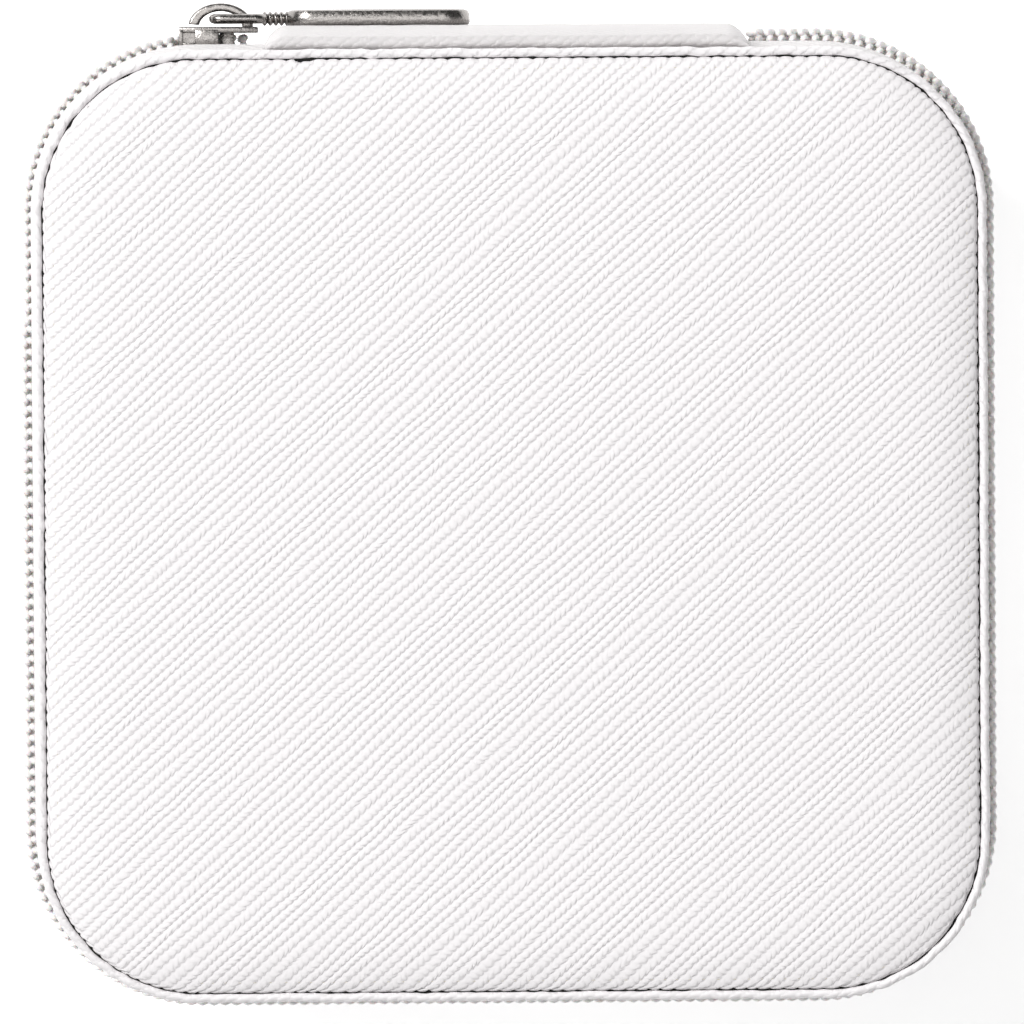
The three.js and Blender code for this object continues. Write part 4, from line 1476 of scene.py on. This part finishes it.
class JEWELRYBOX_OT_pocket(bpy.types.Operator):
    """Builds the gathered pocket and its elastic hem."""

    bl_idname = "jewelrybox.pocket"
    bl_label = "Lid pocket"

    def execute(self, context):
        inside = context.scene.jewelry_inside
        low, high = POCKET_LOW, POCKET_HIGH
        wide, deep = high.x - low.x, high.y - low.y
        stand = high.z - low.z - 0.5 * MM
        bm = bmesh.new()
        place = Matrix.Translation(((low.x + high.x) / 2, (low.y + high.y) / 2, high.z))
        place = place @ Matrix.Diagonal((wide, deep, 1, 1))
        bmesh.ops.create_grid(bm, x_segments=150, y_segments=44, size=0.5, matrix=place)
        for vert in bm.verts:
            x, y = vert.co.x, vert.co.y
            from_hem = (y - low.y) / deep
            to_edge = min((x - low.x), (high.x - x), (high.y - y)) / (4.5 * MM)
            held = math.sin(min(1.0, max(0.0, to_edge)) * math.pi / 2) ** 0.6
            drift = waver((x, y * 0.35, 0), 8 * MM, 1.4, 2.0)
            fold = math.sin(2 * math.pi * x / inside.fold_pitch + drift * 2)
            fold += 0.5 * math.sin(2 * math.pi * x / (inside.fold_pitch * 0.61) + drift * 5)
            depth = inside.fold_depth * (0.25 + 0.75 * math.exp(-from_hem * 2.2))
            slack = 0.35 * MM * waver((x, y, 4), 11 * MM, 1.0, 9.0)
            hang = stand - 1.1 * depth
            swing = depth * fold * 0.6 + slack
            vert.co.z = high.z - 0.15 * MM - held * hang - held * swing
        bmesh.ops.recalc_face_normals(bm, faces=bm.faces)
        mesh = bpy.data.meshes.new("lid_pocket_gathered")
        bm.to_mesh(mesh)
        area = sum(face.calc_area() for face in bm.faces)
        bm.free()
        lay_flat(mesh, mesh.uv_layers.new(name="grain"))
        pocket = link_piece(
            "lid_pocket_gathered", mesh, ["polyester_satin_woven"], "lid",
            ["lid_pocket"], 180,
        )
        thicken = pocket.modifiers.new("cloth", "SOLIDIFY")
        thicken.thickness = 0.18 * MM
        thicken.offset = 0
        band = bmesh.new()
        rounded_box(band, HEM_LOW, HEM_HIGH, 0)
        lengthwise = [e for e in band.edges if abs(e.verts[0].co.x - e.verts[1].co.x) > MM]
        bevel(band, lengthwise, 0.45 * MM, 3)
        long_edges = [e for e in band.edges if abs(e.verts[0].co.x - e.verts[1].co.x) > MM]
        bmesh.ops.subdivide_edges(band, edges=long_edges, cuts=110)
        for vert in band.verts:
            vert.co.z += 0.16 * MM * math.sin(2 * math.pi * vert.co.x / inside.fold_pitch)
            vert.co.y += 0.1 * MM * math.sin(2 * math.pi * vert.co.x / (1.7 * inside.fold_pitch))
        hem = finish_piece(
            "pocket_hem", band, ["rubber_elastic_woven"], "lid", ["pocket_elastic"]
        )
        return {"FINISHED"}


class JEWELRYBOX_OT_straps(bpy.types.Operator):
    """Builds the necklace straps with their stitching, tabs and snaps."""

    bl_idname = "jewelrybox.straps"
    bl_label = "Necklace straps"

    def execute(self, context):
        inside = context.scene.jewelry_inside
        for side in SIDES:
            self.strap(side, inside)
            self.snaps(side)
        return {"FINISHED"}

    def strap(self, side, inside):
        low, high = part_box(f"strap_{side}")
        tab_low, tab_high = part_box(f"strap_tab_{side}")
        fold = Vector(JOINTS[f"strap_fold_{side}"]["pos_m"])
        half = (high.x - low.x) / 2
        bm = bmesh.new()
        start = (low.x, tab_low.y, low.z)
        rounded_box(bm, start, high, 0)
        corners = [
            e for e in bm.edges
            if abs(e.verts[0].co.z - e.verts[1].co.z) > 0.5 * MM and e.verts[0].co.y > fold.y
        ]
        bevel(bm, corners, half * 0.97, 10)
        sides_of = [e for e in bm.edges if e.calc_face_angle(0) > 1.2]
        bevel(bm, sides_of, 0.3 * MM, 3)
        for y in [tab_low.y + 0.8 * MM * i for i in range(1, 9)]:
            geometry = list(bm.verts) + list(bm.edges) + list(bm.faces)
            bmesh.ops.bisect_plane(bm, geom=geometry, plane_co=(0, y, 0), plane_no=(0, 1, 0))
        strap = finish_piece(
            f"strap_{side}_sewn", bm, ["skived_leather_grained"], None,
            [f"strap_{side}"], sharp=60,
        )
        begin, end = (fold.x, tab_high.y, fold.z), (fold.x, fold.y + 0.6 * MM, fold.z)
        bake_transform(strap, "lid", f"necklace_strap_{side}", start=begin, end=end)
        tab = bmesh.new()
        rounded_box(tab, (tab_low.x, tab_low.y, high.z + 0.02 * MM), tab_high, 0.2 * MM, 2)
        finish_piece(
            f"strap_tab_{side}_folded", tab, ["skived_leather_grained"], "lid",
            [f"strap_tab_{side}"],
        )
        self.stitches(side, inside, low, high, fold)

    def stitches(self, side, inside, low, high, fold):
        """Two rows of stitches that run up the strap and round its free end."""
        half = (high.x - low.x) / 2 - 1.1 * MM
        centre_y = high.y - (high.x - low.x) / 2
        straight = centre_y - fold.y - 1.2 * MM
        whole = 2 * straight + math.pi * half
        count = int(whole / (inside.stitch * 1.45))
        bm = bmesh.new()
        for i in range(count):
            along = whole * (i + 0.5) / count
            if along < straight:
                x, y, turn = half, fold.y + 1.2 * MM + along, math.pi / 2
            elif along > whole - straight:
                x, y, turn = -half, fold.y + 1.2 * MM + whole - along, math.pi / 2
            else:
                angle = (along - straight) / half
                x, y = half * math.cos(angle), centre_y + half * math.sin(angle)
                turn = angle + math.pi / 2
            place = (
                Matrix.Translation((fold.x + x, y, low.z - 0.02 * MM))
                @ Matrix.Rotation(turn, 4, "Z")
                @ Matrix.Diagonal((inside.stitch, 0.34 * MM, 0.26 * MM, 1))
            )
            bmesh.ops.create_uvsphere(bm, u_segments=8, v_segments=5, radius=0.5, matrix=place)
        finish_piece(
            f"strap_{side}_stitches", bm, ["polyester_thread_spun"], f"necklace_strap_{side}",
            sharp=180, turn=False,
        )

    def snaps(self, side):
        low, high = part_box(f"snap_cap_{side}")
        radius = (high.x - low.x) / 2
        tall = high.z - low.z
        outline = [
            (0, 0), (radius * 0.9, 0), (radius, -0.15 * MM), (radius, -0.4 * MM),
            (radius * 0.93, -0.62 * MM), (radius * 0.8, -0.66 * MM), (radius * 0.74, -0.56 * MM),
            (radius * 0.68, -0.62 * MM), (radius * 0.5, -0.85 * tall), (radius * 0.25, -0.97 * tall),
            (0, -tall),
        ]
        place = Matrix.Translation(((low.x + high.x) / 2, (low.y + high.y) / 2, high.z))
        finish_piece(
            f"snap_cap_{side}_domed", lathe(bmesh.new(), outline, place, 40),
            ["cast_zinc_nickel_plated"], f"necklace_strap_{side}",
            [f"snap_cap_{side}"],
        )
        low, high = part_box(f"snap_stud_{side}")
        radius = (high.x - low.x) / 2
        tall = high.z - low.z
        outline = [
            (0, 0), (radius, 0), (radius, -0.2 * MM), (radius * 0.9, -0.32 * MM),
            (radius * 0.62, -0.34 * MM), (radius * 0.5, -0.42 * MM), (radius * 0.56, -0.6 * MM),
            (radius * 0.46, -0.95 * tall), (radius * 0.3, -tall), (0, -tall),
        ]
        place = Matrix.Translation(((low.x + high.x) / 2, (low.y + high.y) / 2, high.z))
        finish_piece(
            f"snap_stud_{side}_turned", lathe(bmesh.new(), outline, place, 32),
            ["cast_zinc_nickel_plated"], "lid", [f"snap_stud_{side}"],
        )


# The stage -----------------------------------------------------------------------------


KEY_SOFTBOX = ((-1.24, 0.84, 1.9), 1.0, 54.0)  # place and width in metres, power in watts
TOP_SOFTBOX = ((0.05, -0.05, 1.6), 0.9, 6.5)
LIGHTS_AIM = Vector((0, 0, 0.03))
AIR_LIGHT = 0.08  # strength of the light that comes from all round
FLOOR_GLOW = 0.56  # what the floor gives off itself, so that it stays white beside the box
FLOOR_HALF = 3.0
LENS = 346.3  # millimetres, for a camera one metre from the lid
LEAN_LEFT, LEAN_TO_SPINE, ROLL = 0.84, 2.0, -0.37  # the camera's turns in degrees


class JEWELRYBOX_OT_stage(bpy.types.Operator):
    """Sets the floor, the studio lights and the camera."""

    bl_idname = "jewelrybox.stage"
    bl_label = "Stage"

    def execute(self, context):
        scene = context.scene
        self.floor(scene)
        self.light("key_softbox", *KEY_SOFTBOX)
        self.light("top_softbox", *TOP_SOFTBOX)
        world = bpy.data.worlds.new("studio_air")
        world.use_nodes = True
        world.node_tree.nodes["Background"].inputs[0].default_value = (1, 1, 1, 1)
        world.node_tree.nodes["Background"].inputs[1].default_value = AIR_LIGHT
        scene.world = world
        scene.view_settings.view_transform = "Standard"
        self.camera(scene)
        return {"FINISHED"}

    def floor(self, scene):
        tree = new_look("matt_white_board")
        shader = add_node(
            tree, SHADER,
            {"Base Color": scene.jewelry_colours.floor, "Roughness": 0.9,
             "Specular IOR Level": 0.0, "Emission Color": (1, 1, 1, 1),
             "Emission Strength": FLOOR_GLOW},
        )
        add_node(tree, OUTPUT, {"Surface": shader})
        bm = bmesh.new()
        clear = Matrix.Translation((0, 0, -0.05 * MM))  # not in one plane with the box's bottom
        bmesh.ops.create_grid(bm, x_segments=1, y_segments=1, size=FLOOR_HALF, matrix=clear)
        mesh = bpy.data.meshes.new("floor")
        bm.to_mesh(mesh)
        bm.free()
        mesh.materials.append(bpy.data.materials["matt_white_board"])
        floor = bpy.data.objects.new("floor", mesh)
        scene.collection.objects.link(floor)

    def light(self, name, place, width, power):
        data = bpy.data.lights.new(name, "AREA")
        data.shape = "SQUARE"
        data.size = width
        data.energy = power
        lamp = bpy.data.objects.new(name, data)
        lamp.location = place
        aim = LIGHTS_AIM - Vector(place)
        lamp.rotation_euler = aim.to_track_quat("-Z", "Y").to_euler()
        bpy.context.scene.collection.objects.link(lamp)

    def camera(self, scene):
        """Straight down on the lid, leaning a little towards the spine."""
        data = bpy.data.cameras.new("camera")
        data.sensor_width = 36.0
        data.lens = LENS
        data.clip_start = 0.05
        aim = Vector((-0.02 * MM, 1.39 * MM, TOP))
        left, back = math.radians(LEAN_LEFT), math.radians(LEAN_TO_SPINE)
        lean = Vector((-math.sin(left), math.sin(back), 1)).normalized()
        camera = bpy.data.objects.new("camera", data)
        across = Vector((0, 1, 0)).cross(lean).normalized()
        upward = lean.cross(across)
        turned = Matrix((across, upward, lean)).transposed().to_4x4()
        roll = Matrix.Rotation(math.radians(ROLL), 4, "Z")
        camera.matrix_world = Matrix.Translation(aim + lean) @ turned @ roll
        scene.collection.objects.link(camera)
        scene.camera = camera


class JEWELRYBOX_PT_panel(bpy.types.Panel):
    """Lists the box's pieces in the order they are made."""

    bl_idname = "JEWELRYBOX_PT_panel"
    bl_label = "Jewelry Box"
    bl_space_type = "VIEW_3D"
    bl_region_type = "UI"
    bl_category = "Jewelry Box"

    def draw(self, context):
        for operator in OPERATORS:
            self.layout.operator(operator.bl_idname)


OPERATORS = (
    JEWELRYBOX_OT_looks,
    JEWELRYBOX_OT_panels,
    JEWELRYBOX_OT_piping,
    JEWELRYBOX_OT_walls,
    JEWELRYBOX_OT_spine,
    JEWELRYBOX_OT_tapes,
    JEWELRYBOX_OT_coils,
    JEWELRYBOX_OT_slider,
    JEWELRYBOX_OT_pull,
    JEWELRYBOX_OT_liner,
    JEWELRYBOX_OT_rolls,
    JEWELRYBOX_OT_dividers,
    JEWELRYBOX_OT_lining,
    JEWELRYBOX_OT_pocket,
    JEWELRYBOX_OT_straps,
    JEWELRYBOX_OT_stage,
)

SETTINGS = {
    "jewelry_case": JEWELRYBOX_PG_case,
    "jewelry_zip": JEWELRYBOX_PG_zip,
    "jewelry_inside": JEWELRYBOX_PG_inside,
    "jewelry_colours": JEWELRYBOX_PG_colours,
}


def register():
    for cls in (*SETTINGS.values(), *OPERATORS, JEWELRYBOX_PT_panel):
        bpy.utils.register_class(cls)
    for name, group in SETTINGS.items():
        setattr(bpy.types.Scene, name, PointerProperty(type=group))


def unregister():
    for name in SETTINGS:
        delattr(bpy.types.Scene, name)
    for cls in reversed((*SETTINGS.values(), *OPERATORS, JEWELRYBOX_PT_panel)):
        bpy.utils.unregister_class(cls)


def main():
    register()
    for operator in OPERATORS:
        group, name = operator.bl_idname.split(".")
        getattr(getattr(bpy.ops, group), name)()


if __name__ == "__main__":
    main()
